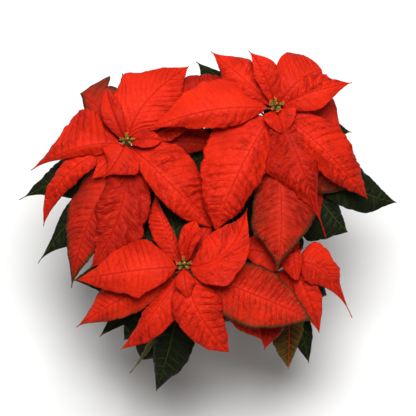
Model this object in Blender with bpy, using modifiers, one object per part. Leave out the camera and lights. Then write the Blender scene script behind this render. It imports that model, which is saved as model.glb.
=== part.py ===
"""A potted poinsettia: four red rosettes on leafy stems that fork from one trunk in a plain pot.

Metres, +Z up. The origin is the middle of the pot's flat base. +Y is the side away from the viewer.
Lengths of bracts and leaves are written in millimetres and turned into metres by MM.
"""

import math
from dataclasses import dataclass

import bmesh
import bpy
from mathutils import Vector

MM = 0.001

# Pot
POT_HEIGHT = 0.122
POT_BASE_RADIUS = 0.050
POT_TOP_RADIUS = 0.068
POT_WALL = 0.0026
POT_FLOOR = 0.0034
RIM_HEIGHT = 0.016
RIM_PROUD = 0.0032
RIM_EDGE = 0.0012
DRAIN_HOLES = 5
DRAIN_RADIUS = 0.0048
DRAIN_RING_RADIUS = 0.031
DRAIN_SIDES = 12
POT_SIDES = 32

# Soil
FIT_GAP = 0.0003
SOIL_TOP = 0.108
SOIL_DOME = 0.005
SOIL_RINGS = 5
SOIL_ROUGHNESS = 0.0012
SOIL_LUMP_TURNS = 9.0
SOIL_LUMP_START = 1.0

# Trunk and stems
TRUNK_RADIUS = 0.0062
TRUNK_FOOT = 0.050
TRUNK_TOP = 0.158
TRUNK_SIDES = 12
TRUNK_HOLE_SIDES = 16
COLLAR_RADIUS = 0.0050
COLLAR_LENGTH = 0.017
STEM_RADIUS = 0.0040
STEM_POINTS = 9
STEM_REACH_SHARE = 0.36
STEM_UPRIGHT_SHARE = 0.46
STEM_SIDES_RESOLUTION = 1

# Rosette hubs and flower clusters
HUB_HEIGHT = 0.040
HUB_RADIUS = 0.0042
HUB_SIDES = 9
CUP_RADIUS = 0.0026
CUP_HEIGHT = 0.0062
CUP_SIDES = 6
CUP_RINGS = ((0.0, 0.36), (0.42, 0.5), (0.7, 1.0), (1.0, 0.5))
GLAND_RADIUS = 0.0014
GLAND_OUT = 0.95
GLAND_UP = 0.78
CLUSTER_STALK = 0.0030
CLUSTER_HEIGHT = 0.0032
CLUSTER_SIDES = 10
CLUSTER_CUP_FOOT = 0.0016
CLUSTER_OUT = 0.0012
CLUSTER_OUT_STEP = 0.00022
CLUSTER_TILT = 34.0
CLUSTER_TILT_STEP = 9.0
CLUSTER_BEARING = 40.0
CLUSTER_SIZE_STEP = 0.12
GOLDEN_SHARE = 0.381966

# Blades
BLADE_THICKNESS = 0.0008
STALK_HALF_WIDTH = 1.3
TIP_HALF_WIDTH = 0.45
BRACT_STALK_SHARE = 0.07
LEAF_STALK_SHARE = 0.20
ROOT_TAPER = 0.72
TOOTH_SPREAD = 0.09
ARCH_SKEW = 0.22
BOW_SHARE = 0.75
WAVE_TURNS = 19.0
WAVE_START_LEFT = 2.0
WAVE_FULL_WIDTH = 12.0
TANGENT_STEP = 0.01
FLAT_CURL = 1e-4
LONG_BLADE = 105
LONG_BLADE_ROWS = 7
MIDDLE_BLADE = 60
MIDDLE_BLADE_ROWS = 6
SHORT_BLADE_ROWS = 4


@dataclass(frozen=True)
class Half:
    """One side of a blade, from its midrib to its margin. Lengths in mm, angles in degrees."""

    width: float
    peak: float = 0.42
    fold: float = 10.0
    curl: float = 30.0
    tooth: float = 0.0
    tooth_at: float = 0.6


@dataclass(frozen=True)
class Blade:
    """A bract or a leaf, in mm. arch, sway and lean move the middle of its midrib off a straight line.

    level is how far below its head a bract is rooted, or the share of its stem at which a leaf is.
    """

    tip: tuple
    level: float
    arch: float
    left: Half
    right: Half
    sway: float = 0.0
    lean: float = 0.0
    taper: float = 1.35
    wave: float = 1.2
    start: tuple = (0.0, 0.0)
    columns: int = 4


@dataclass(frozen=True)
class Branch:
    """One leafy stem and the rosette that it carries. Lengths in mm, the pitch in degrees."""

    name: str
    head: tuple
    fork: float
    pitch: float
    cups: int


NORTH_WEST = Branch("nw", (-93, 68, 305), 140, 40, 6)
NORTH_EAST = Branch("ne", (73, 100, 330), 147, 44, 8)
SOUTH = Branch("s", (-29, -72, 290), 132, 46, 6)
SOUTH_EAST = Branch("se", (93, -56, 245), 125, 34, 3)
BRANCHES = (NORTH_WEST, NORTH_EAST, SOUTH, SOUTH_EAST)

BRACTS = {
    "nw": (
        # inner bracts round the flowers
        Blade((-120, 28, 290), 5, 9, Half(28, 0.40, 4), Half(25, 0.22, 6), sway=4, lean=3, taper=3.2),
        Blade((-133, 31, 283), 9, 4, Half(15, 0.6, -20), Half(9, 0.5), columns=2),
        Blade((-53, 69, 303), 6, 9, Half(12, 0.4, 20), Half(13, 0.42, 25), lean=3),
        # north, narrow and upright
        Blade((-117, 134, 300), 11, 16, Half(14, 0.45, 8), Half(12, 0.5, 36), sway=4),
        # north-east, broad, with a corner tooth
        Blade((-24, 162, 296), 8, 15, Half(39, 0.44, 8, 22, 7, 0.59), Half(38, 0.55, -4), sway=9, lean=-9),
        # west, its south half hanging
        Blade((-205, 52, 252), 13, 30, Half(15, 0.25, -50, 10), Half(56, 0.34, -8, 26), lean=2, taper=2.05),
        # south-west, arched over
        Blade((-190, -11, 238), 16, 21, Half(14, 0.45, -24, 20), Half(16, 0.42, -16, 20), sway=-18, lean=9),
        # south-east, long, over the heart of the plant
        Blade(
            (2, -21, 268), 12, 20, Half(41, 0.43, 2, 24), Half(21, 0.6, -10), sway=-2, lean=-3, taper=0.85
        ),
        # south, shaded and curled in
        Blade((-136, -59, 232), 19, 15, Half(32, 0.48, -6, 26), Half(27, 0.40, 2, 30), sway=16, lean=4),
        # south-west, the lowest, turning green at its margin
        Blade(
            (-159, -75, 205), 29, 17, Half(24, 0.5, -8, 20),
            Half(34, 0.30, -8, 26), sway=-6, lean=16, taper=1.95,
        ),
        # north-west, green at its margin, with a long side lobe
        Blade((-150, 140, 268), 24, 13, Half(22, 0.45, -6), Half(32, 0.70, -2, 6, 24, 0.90), sway=-4),
        # east and north-east, in the shade of the next rosette
        Blade((9, 74, 272), 22, 5, Half(34, 0.6, 4), Half(17, 0.5, -16), sway=5),
        Blade((-11, 102, 284), 15, 6, Half(14, 0.45, 0), Half(19, 0.5, 16, 10), sway=2),
        Blade((18, 151, 288), 16, 6, Half(26, 0.60, -6), Half(20, 0.55, -6), sway=6, lean=10, columns=2),
    ),
    "ne": (
        Blade((83, 65, 315), 7, 8, Half(22, 0.18, 26, 20), Half(19, 0.20, 24, 20), lean=3, taper=2.2),
        # north-east and north
        Blade((125, 146, 325), 9, 18, Half(38, 0.72, 4, 24), Half(26, 0.58, -10), sway=2, taper=0.7),
        Blade((43, 160, 345), 7, 10, Half(13, 0.45, 20), Half(17, 0.52, 14), sway=-3, taper=1.9),
        Blade((1, 171, 318), 11, 16, Half(17, 0.55, -14), Half(25, 0.62, -4), sway=3, lean=-2, taper=1.9),
        # east
        Blade((159, 130, 325), 8, 18, Half(21, 0.45, 0), Half(21, 0.42, -12), sway=-2, taper=1.8),
        # west, long, its midrib raised
        Blade((-67, 77, 319), 10, 20, Half(23, 0.34, -26, 22), Half(42, 0.36, -2, 24), sway=-3, lean=4),
        # south-south-west, the broadest
        Blade(
            (6, -30, 286), 14, 17, Half(28, 0.48, -22, 26),
            Half(54, 0.20, -2, 24), sway=-3, lean=7, taper=0.9,
        ),
        # south-south-east, domed
        Blade(
            (131, -31, 258), 13, 26, Half(43, 0.32, -6, 44), Half(44, 0.40, -14, 26), lean=-4, taper=3.2
        ),
        # south-east, deeply pleated
        Blade((178, 12, 268), 12, 25, Half(34, 0.36, -2, 26), Half(25, 0.45, -38, 20), sway=-3, lean=13),
        # east, behind, in shade
        Blade((154, 81, 285), 22, 8, Half(43, 0.73, -8, 16), Half(24, 0.5, -10), taper=2.15),
        # south, red with green margins
        Blade(
            (74, -73, 270), 33, 7, Half(45, 0.42, -14, 22), Half(37, 0.54, -14, 24), sway=6, lean=20, taper=2
        ),
        Blade((154, 25, 262), 30, 8, Half(20, 0.5, -10), Half(28, 0.66, -10), sway=-6, lean=9),
        Blade((125, -6, 248), 36, 10, Half(22, 0.6, -10), Half(16, 0.5, -10), lean=6, columns=2),
    ),
    "s": (
        Blade((-22, -110, 284), 5, 12, Half(12, 0.4, -6, 40), Half(12, 0.4, -6, 40), sway=-2, lean=4),
        Blade((-16, -19, 286), 6, 12, Half(11, 0.6, 26), Half(16, 0.55, 30, 10), sway=2),
        Blade((2, -14, 262), 15, 3, Half(16, 0.5, -4), Half(15, 0.5, -4), columns=2),
        # north-east, with a bowed midrib
        Blade(
            (42, 0, 271), 9, 13, Half(28, 0.5, 2, 12),
            Half(31, 0.30, 18, 14, 5, 0.34), sway=-22, lean=-8, taper=1.65,
        ),
        # west, broad and level, with a small tooth
        Blade((-149, -80, 258), 9, 20, Half(27, 0.44, -10, 24, 5, 0.46), Half(42, 0.34, -6, 24), sway=3),
        # north-north-west, narrow
        Blade((-62, 20, 258), 14, 4, Half(18, 0.5, -8), Half(12, 0.3, -40, 20), sway=3, lean=3),
        # south-south-east, pleated
        Blade(
            (21, -158, 238), 12, 23, Half(31, 0.50, -6, 26),
            Half(28, 0.42, -12, 26), sway=-11, lean=2, taper=1.0,
        ),
        # south-west
        Blade((-100, -153, 228), 16, 15, Half(24, 0.44, -4, 24), Half(14, 0.45, -40, 10), sway=6, lean=3),
        # west-south-west, green at its margin
        Blade((-150, -128, 232), 19, 8, Half(22, 0.46, -8), Half(30, 0.48, -6), sway=-2, lean=7, taper=1.8),
        # east, large, green at its margin
        Blade((116, -122, 238), 19, 11, Half(38, 0.44, -6, 22), Half(38, 0.45, -8, 22), lean=6),
        # beneath it
        Blade((60, -139, 214), 31, 5, Half(22, 0.5, -8), Half(13, 0.6, -8), sway=3, lean=9),
    ),
    "se": (
        # arched over the young flowers
        Blade(
            (98, -77, 244), 4, 16, Half(12, 0.58, -6, 34),
            Half(18, 0.50, -6, 34), lean=-14, taper=0.7, start=(1, 3.6),
        ),
        # east, its end hanging
        Blade(
            (164, -106, 188), 7, 28, Half(30, 0.24, -4, 22, 6, 0.62),
            Half(21, 0.34, -8, 24), sway=12, lean=-8, taper=2.6,
        ),
        Blade((125, -126, 198), 11, 12, Half(16, 0.43, 0), Half(15, 0.5, -10), sway=2, lean=3),
        Blade(
            (103, -102, 206), 14, 6, Half(12, 0.5, -10), Half(20, 0.36, -10), sway=-6, lean=-3, columns=2
        ),
        Blade((32, -40, 238), 8, 7, Half(22, 0.3, -4), Half(27, 0.5, -4), sway=-4, lean=4),
        Blade((83, 1, 230), 12, 6, Half(16, 0.5, -8), Half(16, 0.5, -8), columns=2),
        Blade((62, -148, 206), 17, 2, Half(18, 0.6, -8), Half(16, 0.6, -8), sway=-3),
    ),
}

LEAVES = {
    "nw": (
        Blade((-221, 26, 222), 0.92, 20, Half(32, 0.36, -8), Half(24, 0.42, -6, 20, 4, 0.85), taper=2.45),
        Blade((-199, -44, 200), 0.83, 18, Half(31, 0.5), Half(15, 0.40), sway=-4, taper=2.15),
        Blade((-102, 170, 256), 0.90, 20, Half(13, 0.45), Half(20, 0.5), taper=1.75),
        Blade((-12, -12, 214), 0.90, 4, Half(30, 0.55, -6), Half(28, 0.5, -6)),
        Blade((-78, -26, 220), 0.89, 13, Half(33, 0.6, -4), Half(26, 0.5, -6), lean=-3),
        Blade((-155, 90, 218), 0.70, 14, Half(24, 0.5), Half(24, 0.5), columns=2),
        Blade((-34, 124, 226), 0.76, 16, Half(25, 0.5), Half(25, 0.5), columns=2),
    ),
    "ne": (
        Blade((-16, 182, 262), 0.92, 16, Half(33, 0.45), Half(10, 0.4), taper=1.75),
        Blade((164, 100, 248), 0.84, 13, Half(25, 0.5), Half(25, 0.5), taper=1.75),
        Blade((216, 22, 225), 0.89, 14, Half(28, 0.5, 6), Half(26, 0.5, -4, 24, 4, 0.8), sway=-18, lean=10),
        Blade((158, -15, 228), 0.81, 15, Half(22, 0.5, -4), Half(44, 0.70, -8), sway=-6, lean=14),
        Blade((-36, 56, 246), 0.90, 8, Half(30, 0.5), Half(30, 0.5)),
        Blade((47, -34, 223), 0.85, 15, Half(30, 0.5, -6), Half(30, 0.5, -6), sway=3),
        Blade((92, 170, 255), 0.74, 20, Half(24, 0.5), Half(24, 0.5), columns=2),
        Blade((140, 80, 226), 0.66, 16, Half(24, 0.5), Half(24, 0.5), columns=2),
    ),
    "s": (
        Blade((-156, -70, 219), 0.88, 2, Half(27, 0.5, -6), Half(25, 0.5, -6), sway=-7),
        Blade((-126, -130, 195), 0.78, 16, Half(12, 0.45), Half(15, 0.5), sway=-3, columns=2),
        Blade((-99, -130, 178), 0.68, 18, Half(22, 0.55), Half(25, 0.55), lean=6),
        Blade(
            (-93, -165, 160), 0.58, 17, Half(4, 0.6, -20, 50),
            Half(5, 0.6, -20, 50), sway=7, lean=8, taper=2.15,
        ),
        Blade((-62, -187, 165), 0.86, 19, Half(28, 0.46, -4), Half(22, 0.48, -6), sway=4, lean=4),
        Blade((-48, 13, 240), 0.94, 13, Half(36, 0.45), Half(30, 0.5)),
        Blade((46, 17, 214), 0.84, 8, Half(27, 0.5), Half(27, 0.5)),
        Blade((46, -106, 178), 0.73, 14, Half(25, 0.5), Half(25, 0.5), columns=2),
        Blade((-106, -92, 182), 0.62, 14, Half(22, 0.5), Half(22, 0.5), columns=2),
        Blade((-79, -150, 166), 0.55, 14, Half(24, 0.66), Half(26, 0.66), taper=0.9, columns=2),
    ),
    "se": (
        Blade((91, -160, 158), 0.93, 16, Half(17, 0.40), Half(24, 0.5)),
        Blade((115, -153, 160), 0.84, 15, Half(12, 0.5), Half(15, 0.5), lean=3),
        Blade((148, -58, 208), 0.94, 10, Half(20, 0.5), Half(18, 0.5)),
        Blade((136, -76, 176), 0.86, 12, Half(18, 0.5), Half(18, 0.5), lean=4),
        Blade((97, -2, 218), 0.88, 12, Half(24, 0.5), Half(14, 0.5)),
        Blade((35, -44, 198), 0.80, 12, Half(22, 0.5), Half(22, 0.5), columns=2),
    ),
}


def principled(name, colour, roughness):
    """A plain Principled material: colour is linear RGB."""
    material = bpy.data.materials.new(name)
    material.use_nodes = True
    shader = material.node_tree.nodes["Principled BSDF"]
    shader.inputs["Base Color"].default_value = (*colour, 1.0)
    shader.inputs["Roughness"].default_value = roughness
    shader.inputs["Metallic"].default_value = 0.0
    return material


def new_object(name, mesh, collection, material=None):
    """An object for a mesh, in a collection."""
    made = bpy.data.objects.new(name, mesh)
    collection.objects.link(made)
    if material:
        mesh.materials.append(material)
    return made


def mesh_of(name, bm):
    """A mesh datablock made from a bmesh, which is then freed."""
    mesh = bpy.data.meshes.new(name)
    bm.to_mesh(mesh)
    bm.free()
    return mesh


def remove_objects(objects):
    """Deletes objects from the file."""
    for item in list(objects):
        bpy.data.objects.remove(item, do_unlink=True)


def turned(name, profile, collection, material, sides):
    """A profile of (radius, height) points, from the axis up and down its outer side, turned round Z."""
    bm = bmesh.new()
    points = [bm.verts.new((radius, 0.0, height)) for radius, height in profile]
    for first, second in zip(points, points[1:]):
        bm.edges.new((first, second))
    made = new_object(name, mesh_of(name, bm), collection, material)
    screw = made.modifiers.new("turn", "SCREW")
    screw.steps = sides
    screw.render_steps = sides
    screw.use_merge_vertices = True
    screw.merge_threshold = 0.1 * MM
    screw.use_smooth_shade = True
    return made


def cylinder(name, radius, bottom, top, at, sides, collection):
    """An upright closed cylinder whose axis passes through at."""
    bm = bmesh.new()
    bmesh.ops.create_cone(
        bm, cap_ends=True, segments=sides, radius1=radius, radius2=radius, depth=top - bottom
    )
    bmesh.ops.translate(bm, verts=bm.verts, vec=(at[0], at[1], (top + bottom) / 2))
    return new_object(name, mesh_of(name, bm), collection)


def hide_cutter(cutter):
    """Marks an object as a helper that only cuts."""
    cutter.hide_render = True
    cutter.display_type = "WIRE"


def cut(body, cutter):
    """Takes the cutter's shape out of the body."""
    hide_cutter(cutter)
    difference = body.modifiers.new("cut " + cutter.name, "BOOLEAN")
    difference.operation = "DIFFERENCE"
    difference.solver = "EXACT"
    difference.object = cutter


def fuse(core, pieces):
    """Joins every object of the collection pieces to the core in one body, then removes them."""
    union = core.modifiers.new("fuse", "BOOLEAN")
    union.operation = "UNION"
    union.operand_type = "COLLECTION"
    union.solver = "MANIFOLD"
    union.collection = pieces
    graph = bpy.context.evaluated_depsgraph_get()
    joined = bpy.data.meshes.new_from_object(core.evaluated_get(graph))
    core.modifiers.clear()
    core.data = joined
    remove_objects(pieces.objects)
    bpy.data.collections.remove(pieces)


def helper_collection(name):
    """A collection for the pieces of one union."""
    made = bpy.data.collections.new(name)
    bpy.context.scene.collection.children.link(made)
    return made


def tube(name, points, radii, collection):
    """A closed tube of changing radius along points, from a curve with a round bevel and filled caps."""
    curve = bpy.data.curves.new(name, "CURVE")
    curve.dimensions = "3D"
    curve.bevel_depth = 1.0
    curve.bevel_resolution = STEM_SIDES_RESOLUTION
    curve.use_fill_caps = True
    spline = curve.splines.new("POLY")
    spline.points.add(len(points) - 1)
    for point, place, radius in zip(spline.points, points, radii):
        point.co = (*place, 1.0)
        point.radius = radius
    guide = bpy.data.objects.new(name + " guide", curve)
    bpy.context.scene.collection.objects.link(guide)
    graph = bpy.context.evaluated_depsgraph_get()
    mesh = bpy.data.meshes.new_from_object(guide.evaluated_get(graph))
    bpy.data.objects.remove(guide, do_unlink=True)
    bm = bmesh.new()
    bm.from_mesh(mesh)
    bmesh.ops.remove_doubles(bm, verts=bm.verts, dist=0.01 * MM)
    bmesh.ops.recalc_face_normals(bm, faces=bm.faces)
    bm.to_mesh(mesh)
    bm.free()
    return new_object(name, mesh, collection)


def bezier(first, second, third, fourth, share):
    """The point at a share of the way along a cubic Bezier curve."""
    rest = 1.0 - share
    return (
        first * rest**3
        + second * (3 * share * rest**2)
        + third * (3 * share**2 * rest)
        + fourth * share**3
    )


def head_of(branch):
    """The top of a branch's hub, in metres."""
    return Vector(branch.head) * MM


def branch_direction(branch):
    """The way that a branch leaves the trunk."""
    outwards = Vector((branch.head[0], branch.head[1], 0.0)).normalized()
    pitch = math.radians(branch.pitch)
    return outwards * math.cos(pitch) + Vector((0.0, 0.0, math.sin(pitch)))


def stem_point(branch, share):
    """A point of a branch's axis, from its collar on the trunk, 0, to the foot of its hub, 1."""
    direction = branch_direction(branch)
    start = Vector((0.0, 0.0, branch.fork * MM)) + direction * (COLLAR_LENGTH + FIT_GAP)
    end = head_of(branch) - Vector((0.0, 0.0, HUB_HEIGHT + FIT_GAP))
    reach = (end - start).length
    return bezier(
        start,
        start + direction * (reach * STEM_REACH_SHARE),
        end - Vector((0.0, 0.0, reach * STEM_UPRIGHT_SHARE)),
        end,
        share,
    )


def swell(share, power):
    """Rises from 0 to 1, where it is level. A larger power keeps it low for longer."""
    return share**power * (1.0 + power * (1.0 - share))


def half_width(half, share, stalk, taper):
    """The distance in mm from midrib to margin at a share of the blade's length."""
    along = (share - stalk) / (1.0 - stalk)
    if along <= 0.0:
        return STALK_HALF_WIDTH
    if along < half.peak:
        swelling = swell(along / half.peak, ROOT_TAPER)
    else:
        swelling = swell((1.0 - along) / (1.0 - half.peak), taper)
    tooth = half.tooth * max(0.0, 1.0 - abs(share - half.tooth_at) / TOOTH_SPREAD)
    least = STALK_HALF_WIDTH + (TIP_HALF_WIDTH - STALK_HALF_WIDTH) * along
    return max(least, half.width * swelling + tooth)


def cross_section(half, width, across):
    """(level, height) in mm of a point that is a share across of the way from midrib to margin."""
    fold = math.radians(half.fold)
    curl = math.radians(half.curl) or FLAT_CURL
    level = width * (math.sin(fold) - math.sin(fold - curl * across)) / curl
    height = width * (math.cos(fold - curl * across) - math.cos(fold)) / curl
    return level, height


def midrib_of(blade, root):
    """The four control points of a blade's midrib, in mm."""
    tip = Vector(blade.tip)
    chord = tip - root
    forward = Vector((chord.x, chord.y, 0.0)).normalized()
    sideways = Vector((-forward.y, forward.x, 0.0))
    bow = (sideways * blade.sway + forward * blade.lean) / BOW_SHARE
    lift = Vector((0.0, 0.0, blade.arch / BOW_SHARE))
    return (
        root,
        root + chord / 3 + bow + lift * (1.0 + ARCH_SKEW),
        root + chord * (2 / 3) + bow + lift * (1.0 - ARCH_SKEW),
        tip,
    )


def blade_point(blade, midrib, stalk, share, across):
    """A point of the blade's surface in mm. across runs from -1, the right margin, to 1, the left one."""
    place = bezier(*midrib, share)
    before = bezier(*midrib, max(0.0, share - TANGENT_STEP))
    after = bezier(*midrib, min(1.0, share + TANGENT_STEP))
    forward = (after - before).normalized()
    sideways = Vector((-forward.y, forward.x, 0.0)).normalized()
    upwards = forward.cross(sideways)
    half = blade.left if across > 0 else blade.right
    width = half_width(half, share, stalk, blade.taper)
    level, height = cross_section(half, width, abs(across))
    start = blade.tip[0] + (WAVE_START_LEFT if across > 0 else 0.0)
    ripple = math.sin(share * WAVE_TURNS + start)
    height += blade.wave * across**2 * ripple * min(1.0, width / WAVE_FULL_WIDTH)
    side = 1.0 if across > 0 else -1.0
    return place + sideways * (side * level) + upwards * height


def row_places(blade, rows):
    """The shares of the length at which a blade has a row of points, with its teeth among them."""
    places = {index / rows for index in range(rows + 1)}
    for half in (blade.left, blade.right):
        if half.tooth:
            near = {place for place in places if abs(place - half.tooth_at) < 0.5 / rows}
            places -= near - {0.0, 1.0}
            places |= {half.tooth_at, half.tooth_at + TOOTH_SPREAD}
    return sorted(place for place in places if place <= 1.0)


def row_count(length):
    """How many rows of faces a blade has along its length, which is given in mm."""
    if length > LONG_BLADE:
        return LONG_BLADE_ROWS
    if length > MIDDLE_BLADE:
        return MIDDLE_BLADE_ROWS
    return SHORT_BLADE_ROWS


def blade_solid(name, blade, root, stalk, collection):
    """A blade as a thin closed solid: a grid bent to its form, cut in triangles and thickened."""
    places = row_places(blade, row_count((Vector(blade.tip) - root).length))
    midrib = midrib_of(blade, root)
    bm = bmesh.new()
    bmesh.ops.create_grid(bm, x_segments=len(places) - 1, y_segments=blade.columns, size=1.0)
    for vertex in bm.verts:
        row = round((vertex.co.x + 1.0) / 2.0 * (len(places) - 1))
        vertex.co = blade_point(blade, midrib, stalk, places[row], vertex.co.y) * MM
    bmesh.ops.triangulate(bm, faces=bm.faces, quad_method="SHORT_EDGE")
    made = new_object(name, mesh_of(name, bm), collection)
    wall = made.modifiers.new("thickness", "SOLIDIFY")
    wall.thickness = BLADE_THICKNESS
    wall.offset = 0.0
    return made


def make_pot(collection, cutters, material):
    """The pot: a tapered plastic shell with a rolled rim and drain holes in its flat base."""
    under_rim = POT_HEIGHT - RIM_HEIGHT
    slope = (POT_TOP_RADIUS - POT_BASE_RADIUS) / POT_HEIGHT

    def wall_at(height):
        return POT_BASE_RADIUS + slope * height

    profile = (
        (0.0, POT_FLOOR),
        (wall_at(POT_FLOOR) - POT_WALL, POT_FLOOR),
        (POT_TOP_RADIUS - POT_WALL, POT_HEIGHT - RIM_EDGE),
        (POT_TOP_RADIUS - POT_WALL + RIM_EDGE, POT_HEIGHT),
        (POT_TOP_RADIUS + RIM_PROUD - RIM_EDGE, POT_HEIGHT),
        (POT_TOP_RADIUS + RIM_PROUD, POT_HEIGHT - RIM_EDGE),
        (wall_at(under_rim) + RIM_PROUD, under_rim),
        (wall_at(under_rim), under_rim - RIM_PROUD),
        (POT_BASE_RADIUS + RIM_EDGE * slope, RIM_EDGE),
        (POT_BASE_RADIUS - RIM_EDGE, 0.0),
        (0.0, 0.0),
    )
    pot = turned("pot", profile, collection, material, POT_SIDES)
    for index in range(DRAIN_HOLES):
        angle = math.tau * index / DRAIN_HOLES
        place = (DRAIN_RING_RADIUS * math.cos(angle), DRAIN_RING_RADIUS * math.sin(angle))
        hole = cylinder(
            f"drain {index}", DRAIN_RADIUS, -POT_FLOOR, 2 * POT_FLOOR, place, DRAIN_SIDES, cutters
        )
        cut(pot, hole)


def make_soil(collection, cutters, material):
    """The soil that fills the pot, a little domed and lumpy, with a plain hole for the trunk."""
    slope = (POT_TOP_RADIUS - POT_BASE_RADIUS) / POT_HEIGHT
    floor = POT_FLOOR + FIT_GAP
    inner = POT_BASE_RADIUS - POT_WALL - FIT_GAP
    edge = inner + slope * SOIL_TOP - FIT_GAP
    top = []
    for ring in range(SOIL_RINGS):
        share = ring / SOIL_RINGS
        lump = SOIL_ROUGHNESS * math.sin(SOIL_LUMP_TURNS * share + SOIL_LUMP_START)
        top.append((edge * share, SOIL_TOP + SOIL_DOME * (1.0 - share**2) + lump))
    profile = (*top, (edge, SOIL_TOP), (inner + slope * floor - FIT_GAP, floor), (0.0, floor))
    soil = turned("soil", profile, collection, material, POT_SIDES // 2)
    hole = cylinder(
        "trunk hole",
        TRUNK_RADIUS + FIT_GAP,
        TRUNK_FOOT - FIT_GAP,
        POT_HEIGHT,
        (0.0, 0.0),
        TRUNK_HOLE_SIDES,
        cutters,
    )
    cut(soil, hole)


def make_trunk(collection, material):
    """The woody trunk, pinched out at its top, with a collar where each stem leaves it."""
    trunk = cylinder(
        "trunk", TRUNK_RADIUS, TRUNK_FOOT, TRUNK_TOP, (0.0, 0.0), TRUNK_SIDES, collection
    )
    trunk.data.materials.append(material)
    collars = helper_collection("collars")
    for branch in BRANCHES:
        foot = Vector((0.0, 0.0, branch.fork * MM))
        end = foot + branch_direction(branch) * COLLAR_LENGTH
        tube("collar " + branch.name, (foot, end), (COLLAR_RADIUS, COLLAR_RADIUS), collars)
    fuse(trunk, collars)


def make_leafy_stem(branch, collection, material):
    """One stem with its green leaves."""
    shares = [index / (STEM_POINTS - 1) for index in range(STEM_POINTS)]
    points = [stem_point(branch, share) for share in shares]
    # The first stretch keeps the collar's direction, so that their end faces lie side by side,
    # and the last one is upright under the hub.
    points[0] = points[1] - branch_direction(branch) * (points[1] - points[0]).length
    points[-2] = points[-1] - Vector((0.0, 0.0, (points[-1] - points[-2]).length))
    stem = tube("leafy_stem_" + branch.name, points, [STEM_RADIUS] * STEM_POINTS, collection)
    stem.data.materials.append(material)
    leaves = helper_collection("leaves " + branch.name)
    for index, leaf in enumerate(LEAVES[branch.name]):
        root = stem_point(branch, leaf.level) / MM
        blade_solid(f"leaf {branch.name} {index}", leaf, root, LEAF_STALK_SHARE, leaves)
    fuse(stem, leaves)


def make_rosette(branch, collection, material):
    """The whorl of red bracts round the top of one stem."""
    head = head_of(branch)
    hub = cylinder(
        "rosette_" + branch.name,
        HUB_RADIUS,
        head.z - HUB_HEIGHT,
        head.z,
        (head.x, head.y),
        HUB_SIDES,
        collection,
    )
    hub.data.materials.append(material)
    bracts = helper_collection("bracts " + branch.name)
    for index, bract in enumerate(BRACTS[branch.name]):
        root = Vector(branch.head) + Vector((*bract.start, -bract.level))
        blade_solid(f"bract {branch.name} {index}", bract, root, BRACT_STALK_SHARE, bracts)
    fuse(hub, bracts)


def make_cup(name, foot, tilt, bearing, scale, collection):
    """One small green flower cup on its stalk, with the gland on its rim."""
    bm = bmesh.new()
    made_rings = []
    for height, width in CUP_RINGS:
        ring = bmesh.ops.create_circle(bm, segments=CUP_SIDES, radius=CUP_RADIUS * width * scale)
        bmesh.ops.translate(bm, verts=ring["verts"], vec=(0.0, 0.0, CUP_HEIGHT * height * scale))
        made_rings.append(ring["verts"])
    for lower, upper in zip(made_rings, made_rings[1:]):
        for index in range(CUP_SIDES):
            after = (index + 1) % CUP_SIDES
            bm.faces.new((lower[index], lower[after], upper[after], upper[index]))
    bm.faces.new(list(reversed(made_rings[0])))
    bm.faces.new(made_rings[-1])
    bmesh.ops.recalc_face_normals(bm, faces=bm.faces)
    cup = new_object(name, mesh_of(name, bm), collection)
    cup.location = foot
    cup.rotation_euler = (0.0, math.radians(tilt), math.radians(bearing))
    gland = bmesh.new()
    bmesh.ops.create_icosphere(gland, subdivisions=1, radius=GLAND_RADIUS * scale)
    offset = (CUP_RADIUS * GLAND_OUT * scale, 0.0, CUP_HEIGHT * GLAND_UP * scale)
    bmesh.ops.translate(gland, verts=gland.verts, vec=offset)
    lip = new_object(name + " gland", mesh_of(name + " gland", gland), collection)
    lip.location = foot
    lip.rotation_euler = cup.rotation_euler


def make_cyathia(branch, collection, material):
    """The cluster of true flowers in the middle of one rosette, on a short common stalk."""
    head = head_of(branch)
    foot = head.z + FIT_GAP
    stalk = cylinder(
        "cyathia_" + branch.name,
        CLUSTER_STALK,
        foot,
        foot + CLUSTER_HEIGHT,
        (head.x, head.y),
        CLUSTER_SIDES,
        collection,
    )
    stalk.data.materials.append(material)
    cups = helper_collection("cups " + branch.name)
    for index in range(branch.cups):
        outer = index > 0
        bearing = 360.0 * index * GOLDEN_SHARE + CLUSTER_BEARING
        tilt = CLUSTER_TILT + CLUSTER_TILT_STEP * (index % 3) if outer else 0.0
        out = CLUSTER_OUT + CLUSTER_OUT_STEP * index if outer else 0.0
        angle = math.radians(bearing)
        place = (
            head.x + out * math.cos(angle),
            head.y + out * math.sin(angle),
            foot + CLUSTER_CUP_FOOT,
        )
        scale = 1.0 + CLUSTER_SIZE_STEP * (index % 2)
        make_cup(f"cup {branch.name} {index}", place, tilt, bearing, scale, cups)
    fuse(stalk, cups)


def make_plant():
    """Clears the file and models the pot, the soil and the plant."""
    remove_objects(bpy.data.objects)
    scene = bpy.context.scene
    poinsettia = bpy.data.collections.new("poinsettia")
    cutters = bpy.data.collections.new("cutters")
    scene.collection.children.link(poinsettia)
    scene.collection.children.link(cutters)
    make_pot(poinsettia, cutters, principled("pot plastic", (0.30, 0.105, 0.055), 0.5))
    make_soil(poinsettia, cutters, principled("peat", (0.030, 0.018, 0.011), 0.95))
    make_trunk(poinsettia, principled("bark", (0.10, 0.085, 0.045), 0.8))
    leaf_green = principled("leaf green", (0.010, 0.022, 0.008), 0.5)
    bract_red = principled("bract red", (0.85, 0.022, 0.008), 0.5)
    flower_green = principled("flower green", (0.30, 0.34, 0.03), 0.5)
    for branch in BRANCHES:
        make_leafy_stem(branch, poinsettia, leaf_green)
        make_rosette(branch, poinsettia, bract_red)
        make_cyathia(branch, poinsettia, flower_green)


make_plant()
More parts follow.
